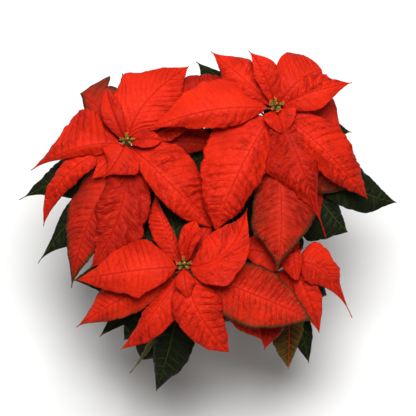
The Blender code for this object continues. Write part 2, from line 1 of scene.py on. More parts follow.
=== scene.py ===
"""A potted poinsettia: veined red bracts over dark leaves, small green flowers, a pinched trunk in peat
and a plain terracotta-coloured pot.

Metres, +Z up. The origin is the middle of the pot's flat base, and +Y is the side away from the viewer.
Blades, which are the bracts and the leaves, are written in millimetres and turned into metres by MM.
"""

import functools
import logging
import math
import random
from dataclasses import dataclass
from enum import Enum

import bmesh
import bpy
import numpy as np
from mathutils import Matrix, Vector


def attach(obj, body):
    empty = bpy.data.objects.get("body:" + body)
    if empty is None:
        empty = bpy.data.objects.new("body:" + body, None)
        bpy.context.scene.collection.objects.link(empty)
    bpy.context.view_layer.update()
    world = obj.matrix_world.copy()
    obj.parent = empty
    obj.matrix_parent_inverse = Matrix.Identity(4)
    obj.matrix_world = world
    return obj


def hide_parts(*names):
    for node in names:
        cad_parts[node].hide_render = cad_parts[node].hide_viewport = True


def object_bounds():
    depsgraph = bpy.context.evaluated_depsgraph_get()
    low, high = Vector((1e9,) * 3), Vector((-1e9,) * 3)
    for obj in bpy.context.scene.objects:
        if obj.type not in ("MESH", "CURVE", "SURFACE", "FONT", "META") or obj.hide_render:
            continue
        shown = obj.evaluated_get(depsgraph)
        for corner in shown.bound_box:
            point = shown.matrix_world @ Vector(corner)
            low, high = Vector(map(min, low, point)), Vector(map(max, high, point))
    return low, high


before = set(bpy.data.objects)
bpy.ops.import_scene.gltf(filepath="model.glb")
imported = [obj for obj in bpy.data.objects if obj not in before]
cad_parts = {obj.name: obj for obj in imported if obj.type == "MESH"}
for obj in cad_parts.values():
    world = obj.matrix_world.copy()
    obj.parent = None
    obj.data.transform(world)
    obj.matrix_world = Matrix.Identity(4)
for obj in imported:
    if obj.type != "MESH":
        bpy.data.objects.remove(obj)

CAD_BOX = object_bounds()
LOG = logging.getLogger("poinsettia")

MM = 0.001
FIT_GAP = 0.0003
Colour = tuple[float, float, float]
Point = tuple[float, float, float]


# Growth: the plan of the plant


class BladeKind(Enum):
    """The two kinds of blade."""

    BRACT = "bract"
    LEAF = "leaf"


class Age(Enum):
    """How old a blade is."""

    FRESH = "fresh"
    TURNING = "turning"
    WITHERED = "withered"


@dataclass(frozen=True)
class Look:
    """How one blade's skin differs from the plain one.

    pleat scales the puffs between the side veins, and crumple the fine wrinkles. left and right scale
    both on one side. gap scales the space between side veins, and slant how far they lean forwards.
    ragged is how uneven the margin is, green how far it has turned green, and shade how far the whole
    blade is dulled; on a bract that lies under others it is painted shade, deepest towards its foot.
    """

    pleat: float = 1.0
    crumple: float = 0.25
    left: float = 1.0
    right: float = 1.0
    gap: float = 1.0
    slant: float = 1.0
    ragged: float = 0.04
    green: float = 0.0
    shade: float = 0.0
    age: Age = Age.FRESH


PLAIN = Look()
PLEATED = Look(pleat=1.5, crumple=0.4)
FLUTED = Look(pleat=1.3, crumple=0.3, gap=0.62)
CRUMPLED = Look(pleat=1.1, crumple=1.1, ragged=0.08)
# painted shade for bracts that lie under others, and the dulled colour of an old leaf
DULL_AND_PAINTED_SHADE = Look(shade=0.75)
EDGED = Look(pleat=0.7, crumple=0.9, right=1.2, green=0.45, shade=0.2, gap=0.75)
TURNING = Look(green=0.85, shade=0.6)


@dataclass(frozen=True)
class Half:
    """One side of a blade, from its midrib to its margin. Lengths in mm, angles in degrees."""

    width: float
    peak: float = 0.42
    fold: float = 10.0
    curl: float = 30.0
    tooth: float = 0.0
    tooth_at: float = 0.6


@dataclass(frozen=True)
class Blade:
    """A bract or a leaf, in mm. arch, sway and lean move the middle of its midrib off a straight line.

    level is how far below its head a bract is rooted, or the share of its stem at which a leaf is.
    """

    tip: Point
    level: float
    arch: float
    left: Half
    right: Half
    sway: float = 0.0
    lean: float = 0.0
    taper: float = 1.35
    wave: float = 1.2
    start: tuple[float, float] = (0.0, 0.0)
    look: Look = PLAIN


# A look's shade paints shade on the bracts that lie under others, and dulls the turning ones.
BRACTS: dict[str, tuple[Blade, ...]] = {
    "nw": (
        # inner bracts round the flowers
        Blade((-120, 28, 290), 5, 9, Half(28, 0.40, 4), Half(25, 0.22, 6), sway=4, lean=3, taper=3.2,
              look=Look(pleat=0.9, crumple=1.1)),
        Blade((-133, 31, 283), 9, 4, Half(15, 0.6, -20), Half(9, 0.5)),
        Blade((-53, 69, 303), 6, 9, Half(12, 0.4, 20), Half(13, 0.42, 25), lean=3,
              look=Look(pleat=0.9, crumple=1.8, ragged=0.10)),
        # north, narrow and upright
        Blade((-117, 134, 300), 11, 16, Half(14, 0.45, 8), Half(12, 0.5, 36), sway=4,
              look=Look(pleat=0.8, crumple=2.0, left=0.45, shade=0.25, ragged=0.08)),
        # north-east, broad, with a corner tooth
        Blade((-24, 162, 296), 8, 15, Half(39, 0.44, 8, 22, 7, 0.59), Half(38, 0.55, -4), sway=9, lean=-9,
              look=Look(pleat=1.3, crumple=0.25, left=0.6, gap=0.95, slant=2.3)),
        # west, its south half hanging
        Blade((-205, 52, 252), 13, 30, Half(15, 0.25, -50, 10), Half(56, 0.34, -8, 26), lean=2, taper=2.05,
              look=Look(pleat=2.1, crumple=0.4, left=0.3, gap=0.95, slant=-0.3)),
        # south-west, arched over
        Blade((-190, -11, 238), 16, 21, Half(14, 0.45, -24, 20), Half(16, 0.42, -16, 20), sway=-18, lean=9,
              look=Look(pleat=1.6, crumple=0.6)),
        # south-east, long, over the heart of the plant
        Blade((2, -21, 268), 12, 20, Half(41, 0.43, 2, 24), Half(21, 0.6, -10), sway=-2, lean=-3,
              taper=0.85, look=Look(pleat=1.1, crumple=1.0, right=0.45)),
        # south, shaded and curled in
        Blade((-136, -59, 232), 19, 15, Half(32, 0.48, -6, 26), Half(27, 0.40, 2, 30), sway=16, lean=4,
              look=Look(pleat=1.3, crumple=1.6, shade=0.40, ragged=0.08)),
        # south-west, the lowest, turning green at its margin
        Blade((-159, -75, 205), 29, 17, Half(24, 0.5, -8, 20), Half(34, 0.30, -8, 26), sway=-6, lean=16,
              taper=1.95, look=Look(green=0.3, shade=0.3, gap=0.75)),
        # north-west, green at its margin, with a long side lobe
        Blade((-150, 140, 268), 24, 13, Half(22, 0.45, -6), Half(32, 0.70, -2, 6, 24, 0.90), sway=-4,
              look=Look(green=0.55, shade=0.45)),
        # east and north-east, in the shade of the next rosette
        Blade((9, 74, 272), 22, 5, Half(34, 0.6, 4), Half(17, 0.5, -16), sway=5, look=DULL_AND_PAINTED_SHADE),
        Blade((-11, 102, 284), 15, 6, Half(14, 0.45, 0), Half(19, 0.5, 16, 10), sway=2, look=CRUMPLED),
        Blade((18, 151, 288), 16, 6, Half(26, 0.60, -6), Half(20, 0.55, -6), sway=6, lean=10, look=DULL_AND_PAINTED_SHADE),
    ),
    "ne": (
        Blade((83, 65, 315), 7, 8, Half(22, 0.18, 26, 20), Half(19, 0.20, 24, 20), lean=3, taper=2.2,
              look=Look(pleat=0.8, crumple=0.9)),
        # north-east and north
        Blade((125, 146, 325), 9, 18, Half(38, 0.72, 4, 24), Half(26, 0.58, -10), sway=2, taper=0.7,
              look=Look(pleat=1.3, crumple=0.3, gap=0.62, slant=1.5, shade=0.12)),
        Blade((43, 160, 345), 7, 10, Half(13, 0.45, 20), Half(17, 0.52, 14), sway=-3, taper=1.9,
              look=Look(pleat=1.0, crumple=0.7, ragged=0.10)),
        Blade((1, 171, 318), 11, 16, Half(17, 0.55, -14), Half(25, 0.62, -4), sway=3, lean=-2, taper=1.9,
              look=Look(pleat=0.8, crumple=0.7)),
        # east
        Blade((159, 130, 325), 8, 18, Half(21, 0.45, 0), Half(21, 0.42, -12), sway=-2, taper=1.8,
              look=Look(pleat=0.9, crumple=1.0, left=1.4, right=0.5, ragged=0.02)),
        # west, long, its midrib raised
        Blade((-67, 77, 319), 10, 20, Half(23, 0.34, -26, 22), Half(42, 0.36, -2, 24), sway=-3, lean=4,
              look=Look(pleat=0.8, crumple=0.4, right=0.25, ragged=0.07)),
        # south-south-west, the broadest
        Blade((6, -30, 286), 14, 17, Half(28, 0.48, -22, 26), Half(54, 0.20, -2, 24), sway=-3, lean=7,
              taper=0.9, look=Look(pleat=1.5, crumple=0.7, ragged=0.06)),
        # south-south-east, domed
        Blade((131, -31, 258), 13, 26, Half(43, 0.32, -6, 44), Half(44, 0.40, -14, 26), lean=-4, taper=3.2,
              look=Look(pleat=1.3, crumple=1.5, shade=0.40, ragged=0.07)),
        # south-east, deeply pleated
        Blade((178, 12, 268), 12, 25, Half(34, 0.36, -2, 26), Half(25, 0.45, -38, 20), sway=-3, lean=13,
              look=PLEATED),
        # east, behind, in shade
        Blade((154, 81, 285), 22, 8, Half(43, 0.73, -8, 16), Half(24, 0.5, -10), taper=2.15,
              look=Look(shade=0.2)),
        # south, red with green margins
        Blade((74, -73, 270), 33, 7, Half(45, 0.42, -14, 22), Half(37, 0.54, -14, 24), sway=6, lean=20,
              taper=2, look=EDGED),
        Blade((154, 25, 262), 30, 8, Half(20, 0.5, -10), Half(28, 0.66, -10), sway=-6, lean=9,
              look=TURNING),
        Blade((125, -6, 248), 36, 10, Half(22, 0.6, -10), Half(16, 0.5, -10), lean=6, look=DULL_AND_PAINTED_SHADE),
    ),
    "s": (
        Blade((-22, -110, 284), 5, 12, Half(12, 0.4, -6, 40), Half(12, 0.4, -6, 40), sway=-2, lean=4,
              look=Look(pleat=0.6, crumple=0.6)),
        Blade((-16, -19, 286), 6, 12, Half(11, 0.6, 26), Half(16, 0.55, 30, 10), sway=2,
              look=Look(pleat=1.2, crumple=2.8, ragged=0.15)),
        Blade((2, -14, 262), 15, 3, Half(16, 0.5, -4), Half(15, 0.5, -4), look=DULL_AND_PAINTED_SHADE),
        # north-east, with a bowed midrib
        Blade((42, 0, 271), 9, 13, Half(28, 0.5, 2, 12), Half(31, 0.30, 18, 14, 5, 0.34), sway=-22,
              lean=-8, taper=1.65, look=Look(pleat=1.1, crumple=0.8, left=1.3)),
        # west, broad and level, with a small tooth
        Blade((-149, -80, 258), 9, 20, Half(27, 0.44, -10, 24, 5, 0.46), Half(42, 0.34, -6, 24), sway=3,
              look=Look(pleat=0.9, crumple=0.12, gap=0.75, slant=0.5)),
        # north-north-west, narrow
        Blade((-62, 20, 258), 14, 4, Half(18, 0.5, -8), Half(12, 0.3, -40, 20), sway=3, lean=3, look=FLUTED),
        # south-south-east, pleated
        Blade((21, -158, 238), 12, 23, Half(31, 0.50, -6, 26), Half(28, 0.42, -12, 26), sway=-11, lean=2,
              taper=1.0, look=PLEATED),
        # south-west
        Blade((-100, -153, 228), 16, 15, Half(24, 0.44, -4, 24), Half(14, 0.45, -40, 10), sway=6, lean=3,
              look=Look(pleat=0.8, crumple=0.9)),
        # west-south-west, green at its margin
        Blade((-150, -128, 232), 19, 8, Half(22, 0.46, -8), Half(30, 0.48, -6), sway=-2, lean=7, taper=1.8,
              look=Look(pleat=0.8, gap=0.7, green=0.12)),
        # east, large, green at its margin
        Blade((116, -122, 238), 19, 11, Half(38, 0.44, -6, 22), Half(38, 0.45, -8, 22), lean=6,
              look=Look(pleat=0.9, crumple=0.3, green=0.3, gap=0.6, slant=0.6)),
        # beneath it
        Blade((60, -139, 214), 31, 5, Half(22, 0.5, -8), Half(13, 0.6, -8), sway=3, lean=9),
    ),
    "se": (
        # arched over the young flowers
        Blade((98, -77, 244), 4, 16, Half(12, 0.58, -6, 34), Half(18, 0.50, -6, 34), lean=-14, taper=0.7,
              start=(1, 3.6), look=CRUMPLED),
        # east, its end hanging
        Blade((164, -106, 188), 7, 28, Half(30, 0.24, -4, 22, 6, 0.62), Half(21, 0.34, -8, 24), sway=12,
              lean=-8, taper=2.6, look=Look(pleat=0.8, crumple=0.4, gap=0.75)),
        Blade((125, -126, 198), 11, 12, Half(16, 0.43, 0), Half(15, 0.5, -10), sway=2, lean=3,
              look=CRUMPLED),
        Blade((103, -102, 206), 14, 6, Half(12, 0.5, -10), Half(20, 0.36, -10), sway=-6, lean=-3),
        Blade((32, -40, 238), 8, 7, Half(22, 0.3, -4), Half(27, 0.5, -4), sway=-4, lean=4),
        Blade((83, 1, 230), 12, 6, Half(16, 0.5, -8), Half(16, 0.5, -8)),
        Blade((62, -148, 206), 17, 2, Half(18, 0.6, -8), Half(16, 0.6, -8), sway=-3, look=DULL_AND_PAINTED_SHADE),
    ),
}

LEAVES: dict[str, tuple[Blade, ...]] = {
    "nw": (
        Blade((-221, 26, 222), 0.92, 20, Half(32, 0.36, -8), Half(24, 0.42, -6, 20, 4, 0.85), taper=2.45),
        Blade((-199, -44, 200), 0.83, 18, Half(31, 0.5), Half(15, 0.40), sway=-4, taper=2.15),
        Blade((-102, 170, 256), 0.90, 20, Half(13, 0.45), Half(20, 0.5), taper=1.75),
        Blade((-12, -12, 214), 0.90, 4, Half(30, 0.55, -6), Half(28, 0.5, -6)),
        Blade((-78, -26, 220), 0.89, 13, Half(33, 0.6, -4), Half(26, 0.5, -6), lean=-3),
        Blade((-155, 90, 218), 0.70, 14, Half(24, 0.5), Half(24, 0.5)),
        Blade((-34, 124, 226), 0.76, 16, Half(25, 0.5), Half(25, 0.5)),
    ),
    "ne": (
        Blade((-16, 182, 262), 0.92, 16, Half(33, 0.45), Half(10, 0.4), taper=1.75),
        Blade((164, 100, 248), 0.84, 13, Half(25, 0.5), Half(25, 0.5), taper=1.75),
        Blade((216, 22, 225), 0.89, 14, Half(28, 0.5, 6), Half(26, 0.5, -4, 24, 4, 0.8), sway=-18, lean=10),
        Blade((158, -15, 228), 0.81, 15, Half(22, 0.5, -4), Half(44, 0.70, -8), sway=-6, lean=14),
        Blade((-36, 56, 246), 0.90, 8, Half(30, 0.5), Half(30, 0.5)),
        Blade((47, -34, 223), 0.85, 15, Half(30, 0.5, -6), Half(30, 0.5, -6), sway=3),
        Blade((92, 170, 255), 0.74, 20, Half(24, 0.5), Half(24, 0.5)),
        Blade((140, 80, 226), 0.66, 16, Half(24, 0.5), Half(24, 0.5)),
    ),
    "s": (
        Blade((-156, -70, 219), 0.88, 2, Half(27, 0.5, -6), Half(25, 0.5, -6), sway=-7),
        Blade((-126, -130, 195), 0.78, 16, Half(12, 0.45), Half(15, 0.5), sway=-3),
        Blade((-99, -130, 178), 0.68, 18, Half(22, 0.55), Half(25, 0.55), lean=6),
        Blade((-93, -165, 160), 0.58, 17, Half(4, 0.6, -20, 50), Half(5, 0.6, -20, 50), sway=7, lean=8,
              taper=2.15, look=Look(crumple=2.2, ragged=0.6, age=Age.WITHERED)),
        Blade((-62, -187, 165), 0.86, 19, Half(28, 0.46, -4), Half(22, 0.48, -6), sway=4, lean=4),
        Blade((-48, 13, 240), 0.94, 13, Half(36, 0.45), Half(30, 0.5)),
        Blade((46, 17, 214), 0.84, 8, Half(27, 0.5), Half(27, 0.5)),
        Blade((46, -106, 178), 0.73, 14, Half(25, 0.5), Half(25, 0.5)),
        Blade((-106, -92, 182), 0.62, 14, Half(22, 0.5), Half(22, 0.5)),
        Blade((-79, -150, 166), 0.55, 14, Half(24, 0.66), Half(26, 0.66), taper=0.9, look=DULL_AND_PAINTED_SHADE),
    ),
    "se": (
        Blade((91, -160, 158), 0.93, 16, Half(17, 0.40), Half(24, 0.5),
              look=Look(crumple=0.1, left=1.6, right=1.6, gap=0.7, green=0.25, age=Age.TURNING)),
        Blade((115, -153, 160), 0.84, 15, Half(12, 0.5), Half(15, 0.5), lean=3),
        Blade((148, -58, 208), 0.94, 10, Half(20, 0.5), Half(18, 0.5)),
        Blade((136, -76, 176), 0.86, 12, Half(18, 0.5), Half(18, 0.5), lean=4),
        Blade((97, -2, 218), 0.88, 12, Half(24, 0.5), Half(14, 0.5)),
        Blade((35, -44, 198), 0.80, 12, Half(22, 0.5), Half(22, 0.5)),
    ),
}


@dataclass(frozen=True)
class Branch:
    """One leafy stem and the rosette that it carries. Lengths in mm, the pitch in degrees."""

    name: str
    head: Point
    fork: float
    pitch: float
    cups: int
    seed: int
    collar: float = 17.0
    hub: float = 40.0
    reach_share: float = 0.36
    upright_share: float = 0.46

    def direction(self) -> Vector:
        """The way that the branch leaves the trunk."""
        outwards = Vector((self.head[0], self.head[1], 0.0)).normalized()
        pitch = math.radians(self.pitch)
        return outwards * math.cos(pitch) + Vector((0.0, 0.0, math.sin(pitch)))

    def stem_controls(self) -> np.ndarray:
        """The four control points, in mm, of the stem's axis from its collar to the foot of its hub."""
        gap = FIT_GAP / MM
        start = Vector((0.0, 0.0, self.fork)) + self.direction() * (self.collar + gap)
        end = Vector(self.head) - Vector((0.0, 0.0, self.hub + gap))
        reach = (end - start).length
        return np.array(
            (
                start,
                start + self.direction() * (reach * self.reach_share),
                end - Vector((0.0, 0.0, reach * self.upright_share)),
                end,
            )
        )

    def stem_point(self, share: float) -> np.ndarray:
        """A point of the stem's axis in mm, at a share of its length."""
        return bezier(self.stem_controls(), np.array(share))


BRANCHES = (
    Branch("nw", (-93, 68, 305), 140, 40, 6, 11),
    Branch("ne", (73, 100, 330), 147, 44, 8, 23),
    Branch("s", (-29, -72, 290), 132, 46, 6, 37),
    Branch("se", (93, -56, 245), 125, 34, 3, 41),
)


# Curves, noise and mesh helpers


def bezier(controls: np.ndarray, share: np.ndarray) -> np.ndarray:
    """Points along a cubic Bezier curve.

    Args:
        controls: The four control points, one a row.
        share: Any array of shares of the way along it.

    Returns:
        The points, in an array with one more axis than share.
    """
    share = np.asarray(share)[..., None]
    rest = 1.0 - share
    return (
        controls[0] * rest**3
        + controls[1] * (3.0 * share * rest**2)
        + controls[2] * (3.0 * share**2 * rest)
        + controls[3] * share**3
    )


def smooth(low: float, high: float, value: np.ndarray) -> np.ndarray:
    """Rises smoothly from 0 where value is low to 1 where it is high."""
    share = np.clip((value - low) / (high - low), 0.0, 1.0)
    return share * share * (3.0 - 2.0 * share)


def plane_noise(x: np.ndarray, y: np.ndarray, seed: int, cells: int = 64) -> np.ndarray:
    """Smooth noise between -1 and 1 over a plane, one lattice cell a unit.

    Args:
        x: The first coordinates.
        y: The second ones, in an array of the same shape.
        seed: Picks the pattern.
        cells: The lattice repeats after this many units.

    Returns:
        The noise at each point.
    """
    table = np.random.default_rng(seed).uniform(-1.0, 1.0, (cells, cells))
    column = np.floor(x).astype(int)
    row = np.floor(y).astype(int)
    u = smooth(0.0, 1.0, x - column)
    v = smooth(0.0, 1.0, y - row)
    near, far = column % cells, (column + 1) % cells
    low, high = row % cells, (row + 1) % cells
    bottom = table[near, low] * (1.0 - u) + table[far, low] * u
    top = table[near, high] * (1.0 - u) + table[far, high] * u
    return bottom * (1.0 - v) + top * v


def unit(vectors: np.ndarray) -> np.ndarray:
    """The vectors along the last axis, each made one long."""
    return vectors / np.maximum(np.linalg.norm(vectors, axis=-1, keepdims=True), 1e-9)


def level_across(forward: np.ndarray) -> np.ndarray:
    """The level direction, one long, to the left of each forward one."""
    return unit(np.stack((-forward[..., 1], forward[..., 0], 0.0 * forward[..., 0]), axis=-1))


def distances(points: np.ndarray) -> np.ndarray:
    """How far along a line each of its points lies."""
    steps = np.linalg.norm(np.diff(points, axis=0), axis=1)
    return np.concatenate(([0.0], np.cumsum(steps)))


def deselect_all() -> None:
    """Leaves object mode with nothing selected."""
    if bpy.context.object and bpy.context.object.mode != "OBJECT":
        bpy.ops.object.mode_set(mode="OBJECT")
    bpy.ops.object.select_all(action="DESELECT")


def activate(piece: bpy.types.Object) -> None:
    """Makes one object the only selected and active one."""
    deselect_all()
    piece.select_set(True)
    bpy.context.view_layer.objects.active = piece


def apply_modifier(piece: bpy.types.Object, name: str) -> None:
    """Applies one modifier of a piece."""
    activate(piece)
    bpy.ops.object.modifier_apply(modifier=name)


def settle(piece: bpy.types.Object, name: str) -> bpy.types.Object:
    """Names a piece and its mesh, and puts its place, turn and scale into its mesh."""
    activate(piece)
    bpy.ops.object.transform_apply(location=True, rotation=True, scale=True)
    piece.name = name
    piece.data.name = name
    return piece


def join(pieces: list[bpy.types.Object], name: str) -> bpy.types.Object:
    """Joins the pieces in one object.

    Args:
        pieces: The objects, the first of which stays.
        name: The name of the joined object.

    Returns:
        The joined object.
    """
    activate(pieces[0])
    for piece in pieces[1:]:
        piece.select_set(True)
    bpy.ops.object.join()
    return settle(bpy.context.object, name)


def read_vectors(layer: bpy.types.bpy_prop_collection, key: str) -> np.ndarray:
    """One vector of each item of a mesh layer, one a row."""
    values = np.empty(len(layer) * 3, np.float32)
    layer.foreach_get(key, values)
    return values.reshape(-1, 3).astype(float)


def mesh_points(piece: bpy.types.Object) -> np.ndarray:
    """The places of a piece's vertices, one a row."""
    return read_vectors(piece.data.vertices, "co")


def move_points(piece: bpy.types.Object, points: np.ndarray) -> None:
    """Moves a piece's vertices to new places."""
    piece.data.vertices.foreach_set("co", points.astype(np.float32).ravel())
    piece.data.update()


def vertex_normals(piece: bpy.types.Object) -> np.ndarray:
    """The normals of a piece's vertices, one a row."""
    return read_vectors(piece.data.vertex_normals, "vector")


def face_outwards(piece: bpy.types.Object, merge: float = 1e-6) -> None:
    """Merges a closed piece's doubles and turns all its faces outwards."""
    bm = bmesh.new()
    bm.from_mesh(piece.data)
    bmesh.ops.remove_doubles(bm, verts=bm.verts, dist=merge)
    bmesh.ops.recalc_face_normals(bm, faces=bm.faces)
    bm.to_mesh(piece.data)
    bm.free()


def tube(name: str, points: np.ndarray, radii: np.ndarray, sides: int = 4) -> bpy.types.Object:
    """A closed tube of changing radius, from a curve with a round bevel.

    Args:
        name: The object's name.
        points: The points of its axis, in metres.
        radii: The radius at each of them, in metres.
        sides: The curve's bevel resolution.

    Returns:
        The tube, as a mesh object.
    """
    curve = bpy.data.curves.new(name, "CURVE")
    curve.dimensions = "3D"
    curve.bevel_depth = 1.0
    curve.bevel_resolution = sides
    curve.use_fill_caps = True
    spline = curve.splines.new("POLY")
    spline.points.add(len(points) - 1)
    for point, place, radius in zip(spline.points, points, radii):
        point.co = (*place, 1.0)
        point.radius = radius
    guide = bpy.data.objects.new(name, curve)
    bpy.context.collection.objects.link(guide)
    activate(guide)
    bpy.ops.object.convert(target="MESH")
    made = bpy.context.object
    face_outwards(made)
    bpy.ops.object.shade_smooth()
    return made


def turned(name: str, profile: list[tuple[float, float]], sides: int) -> bpy.types.Object:
    """A turned piece: a disc whose face is drawn out ring by ring along a profile.

    Args:
        name: The object's name.
        profile: (radius, height) of each ring, from the middle of the underside round to the top.
        sides: The number of sides.

    Returns:
        The closed piece.
    """
    deselect_all()
    radius, height = profile[0]
    bpy.ops.mesh.primitive_circle_add(
        vertices=sides, radius=radius, fill_type="NGON", location=(0.0, 0.0, height)
    )
    made = bpy.context.object
    bpy.ops.object.mode_set(mode="EDIT")
    for next_radius, next_height in profile[1:]:
        bpy.ops.mesh.extrude_region_move(
            TRANSFORM_OT_translate={"value": (0.0, 0.0, next_height - height)}
        )
        grown = next_radius / radius
        bpy.ops.transform.resize(value=(grown, grown, 1.0))
        radius, height = next_radius, next_height
    bpy.ops.object.mode_set(mode="OBJECT")
    settle(made, name)
    face_outwards(made)
    return made


def commit(piece: bpy.types.Object, node: str) -> None:
    """Makes a piece ride with the plant and stand for a CAD node, whose part is hidden."""
    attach(piece, "root")
    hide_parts(node)
    LOG.info("%s stands for %s with %d faces", piece.name, node, len(piece.data.polygons))


# Finishes


class Sketch:
    """Adds nodes to a node tree and links them."""

    def __init__(self, tree: bpy.types.NodeTree) -> None:
        """Keeps the tree that nodes are added to."""
        self.tree = tree

    def add(self, kind: str, **settings: object) -> bpy.types.Node:
        """A new node of a kind, with its properties set."""
        node = self.tree.nodes.new(kind)
        for key, value in settings.items():
            setattr(node, key, value)
        return node

    def feed(self, socket: bpy.types.NodeSocket, source: object) -> None:
        """Links a socket to another one, or sets it to a value."""
        if isinstance(source, bpy.types.NodeSocket):
            self.tree.links.new(source, socket)
        else:
            socket.default_value = source

    def maths(self, operation: str, *sources: object) -> bpy.types.NodeSocket:
        """The result of a Math node.

        Args:
            operation: Its operation.
            sources: Its inputs, each a socket or a number.

        Returns:
            Its output socket.
        """
        node = self.add("ShaderNodeMath", operation=operation)
        for socket, source in zip(node.inputs, sources):
            self.feed(socket, source)
        return node.outputs[0]

    def ramp(
        self, value: object, low: object, high: object, first: object = 0.0, last: object = 1.0
    ) -> bpy.types.NodeSocket:
        """A value mapped smoothly from low..high to first..last, and held beyond them."""
        node = self.add("ShaderNodeMapRange", interpolation_type="SMOOTHSTEP")
        for socket, source in zip(node.inputs, (value, low, high, first, last)):
            self.feed(socket, source)
        return node.outputs[0]

    def mix(self, share: object, first: object, second: object) -> bpy.types.NodeSocket:
        """Two colours mixed.

        Args:
            share: How much of the second one, a socket or a number.
            first: The first colour, a socket or three numbers.
            second: The second one.

        Returns:
            The mixed colour's socket.
        """
        node = self.add("ShaderNodeMix", data_type="RGBA", clamp_factor=True)
        for index, source in ((0, share), (6, first), (7, second)):
            self.feed(node.inputs[index], (*source, 1.0) if isinstance(source, tuple) else source)
        return node.outputs[2]

    def noise(
        self, vector: object, scale: object, detail: float, roughness: float = 0.5
    ) -> bpy.types.NodeSocket:
        """The value of a Noise Texture read at a vector."""
        node = self.add("ShaderNodeTexNoise")
        sources = {"Vector": vector, "Scale": scale, "Detail": detail, "Roughness": roughness}
        for label, source in sources.items():
            self.feed(node.inputs[label], source)
        return node.outputs["Fac"]

    def split(self, vector: object) -> list[bpy.types.NodeSocket]:
        """The three parts of a vector."""
        node = self.add("ShaderNodeSeparateXYZ")
        self.feed(node.inputs[0], vector)
        return list(node.outputs)

    def attribute(self, name: str) -> list[bpy.types.NodeSocket]:
        """The three parts of one of the mesh's vector attributes."""
        return self.split(self.add("ShaderNodeAttribute", attribute_name=name).outputs["Vector"])

    def strongest(self, *masks: tuple[object, float]) -> bpy.types.NodeSocket:
        """The largest of several masks, each multiplied by its own strength."""
        scaled = [self.maths("MULTIPLY", mask, strength) for mask, strength in masks]
        return functools.reduce(lambda first, second: self.maths("MAXIMUM", first, second), scaled)

    def use(self, group: bpy.types.NodeTree, **sources: object) -> bpy.types.Node:
        """A copy of a node group, its inputs fed by name."""
        node = self.add("ShaderNodeGroup", node_tree=group)
        for key, source in sources.items():
            self.feed(node.inputs[key], source)
        return node


def new_group(name: str, inputs: dict[str, str], outputs: dict[str, str]) -> tuple[Sketch, object, object]:
    """An empty shader node group.

    Args:
        name: Its name.
        inputs: Each input's name and socket type.
        outputs: Each output's name and socket type.

    Returns:
        A sketch of the group, its input node and its output node.
    """
    tree = bpy.data.node_groups.new(name, "ShaderNodeTree")
    for side, sockets in (("INPUT", inputs), ("OUTPUT", outputs)):
        for label, kind in sockets.items():
            tree.interface.new_socket(name=label, in_out=side, socket_type=kind)
    sketch = Sketch(tree)
    return sketch, sketch.add("NodeGroupInput"), sketch.add("NodeGroupOutput")


def new_material(name: str) -> tuple[bpy.types.Material, Sketch, bpy.types.Node]:
    """A material with its sketch and its Principled shader."""
    material = bpy.data.materials.new(name)
    material.use_nodes = True
    return material, Sketch(material.node_tree), material.node_tree.nodes["Principled BSDF"]


class Veins:
    """The vein net of a blade: a midrib, curved side veins, the fine net and the crepe between them."""

    wobble_scale = 9.0
    wobble = 0.16
    side_half_widths = (0.085, 0.03)
    side_fade = (0.75, 1.0)
    side_end = 0.25
    midrib_core = 0.25
    midrib_half_widths = (1.35, 0.55)
    cell_scale = 40.0
    net_width = 0.10
    crepe_turns = 1.5
    crepe_scale = 22.0
    crepe_width = 0.10

    def __init__(self) -> None:
        """Builds the node group."""
        sketch, given, result = new_group(
            "vein net",
            {"Place": "NodeSocketVector", "Distance": "NodeSocketFloat", "Map": "NodeSocketVector"},
            dict.fromkeys(("Midrib", "Side", "Net", "Crepe"), "NodeSocketFloat"),
        )
        across, along, phase = sketch.split(given.outputs["Place"])
        skin = given.outputs["Map"]
        wobble = sketch.noise(skin, self.wobble_scale, 2.0)
        wobble = sketch.maths("MULTIPLY_ADD", wobble, self.wobble, -0.5 * self.wobble)
        shift = sketch.maths("MULTIPLY", sketch.maths("LESS_THAN", across, 0.0), 0.5)
        turns = sketch.maths("ADD", sketch.maths("ADD", phase, shift), wobble)
        away = sketch.maths("PINGPONG", turns, 0.5)
        outwards = sketch.maths("ABSOLUTE", across)
        width = sketch.ramp(outwards, 0.0, 1.0, *self.side_half_widths)
        side = sketch.ramp(away, 0.0, width, 1.0, 0.0)
        reach = sketch.ramp(outwards, *self.side_fade, 1.0, self.side_end)
        sketch.feed(result.inputs["Side"], sketch.maths("MULTIPLY", side, reach))
        thick = sketch.ramp(along, 0.0, 1.0, *self.midrib_half_widths)
        midrib = sketch.ramp(given.outputs["Distance"], self.midrib_core, thick, 1.0, 0.0)
        sketch.feed(result.inputs["Midrib"], midrib)
        cells = sketch.add("ShaderNodeTexVoronoi", feature="DISTANCE_TO_EDGE")
        sketch.feed(cells.inputs["Vector"], skin)
        sketch.feed(cells.inputs["Scale"], self.cell_scale)
        sketch.feed(result.inputs["Net"], sketch.ramp(cells.outputs[0], 0.0, self.net_width, 1.0, 0.0))
        weave = sketch.add("ShaderNodeCombineXYZ")
        sketch.feed(weave.inputs[0], sketch.maths("MULTIPLY", phase, self.crepe_turns))
        sketch.feed(weave.inputs[1], sketch.maths("MULTIPLY", sketch.split(skin)[0], self.crepe_scale))
        crepe = sketch.noise(weave.outputs[0], 1.0, 4.0, 0.6)
        crepe = sketch.maths("ABSOLUTE", sketch.maths("SUBTRACT", crepe, 0.5))
        sketch.feed(result.inputs["Crepe"], sketch.ramp(crepe, 0.0, self.crepe_width, 1.0, 0.0))
        self.group = sketch.tree


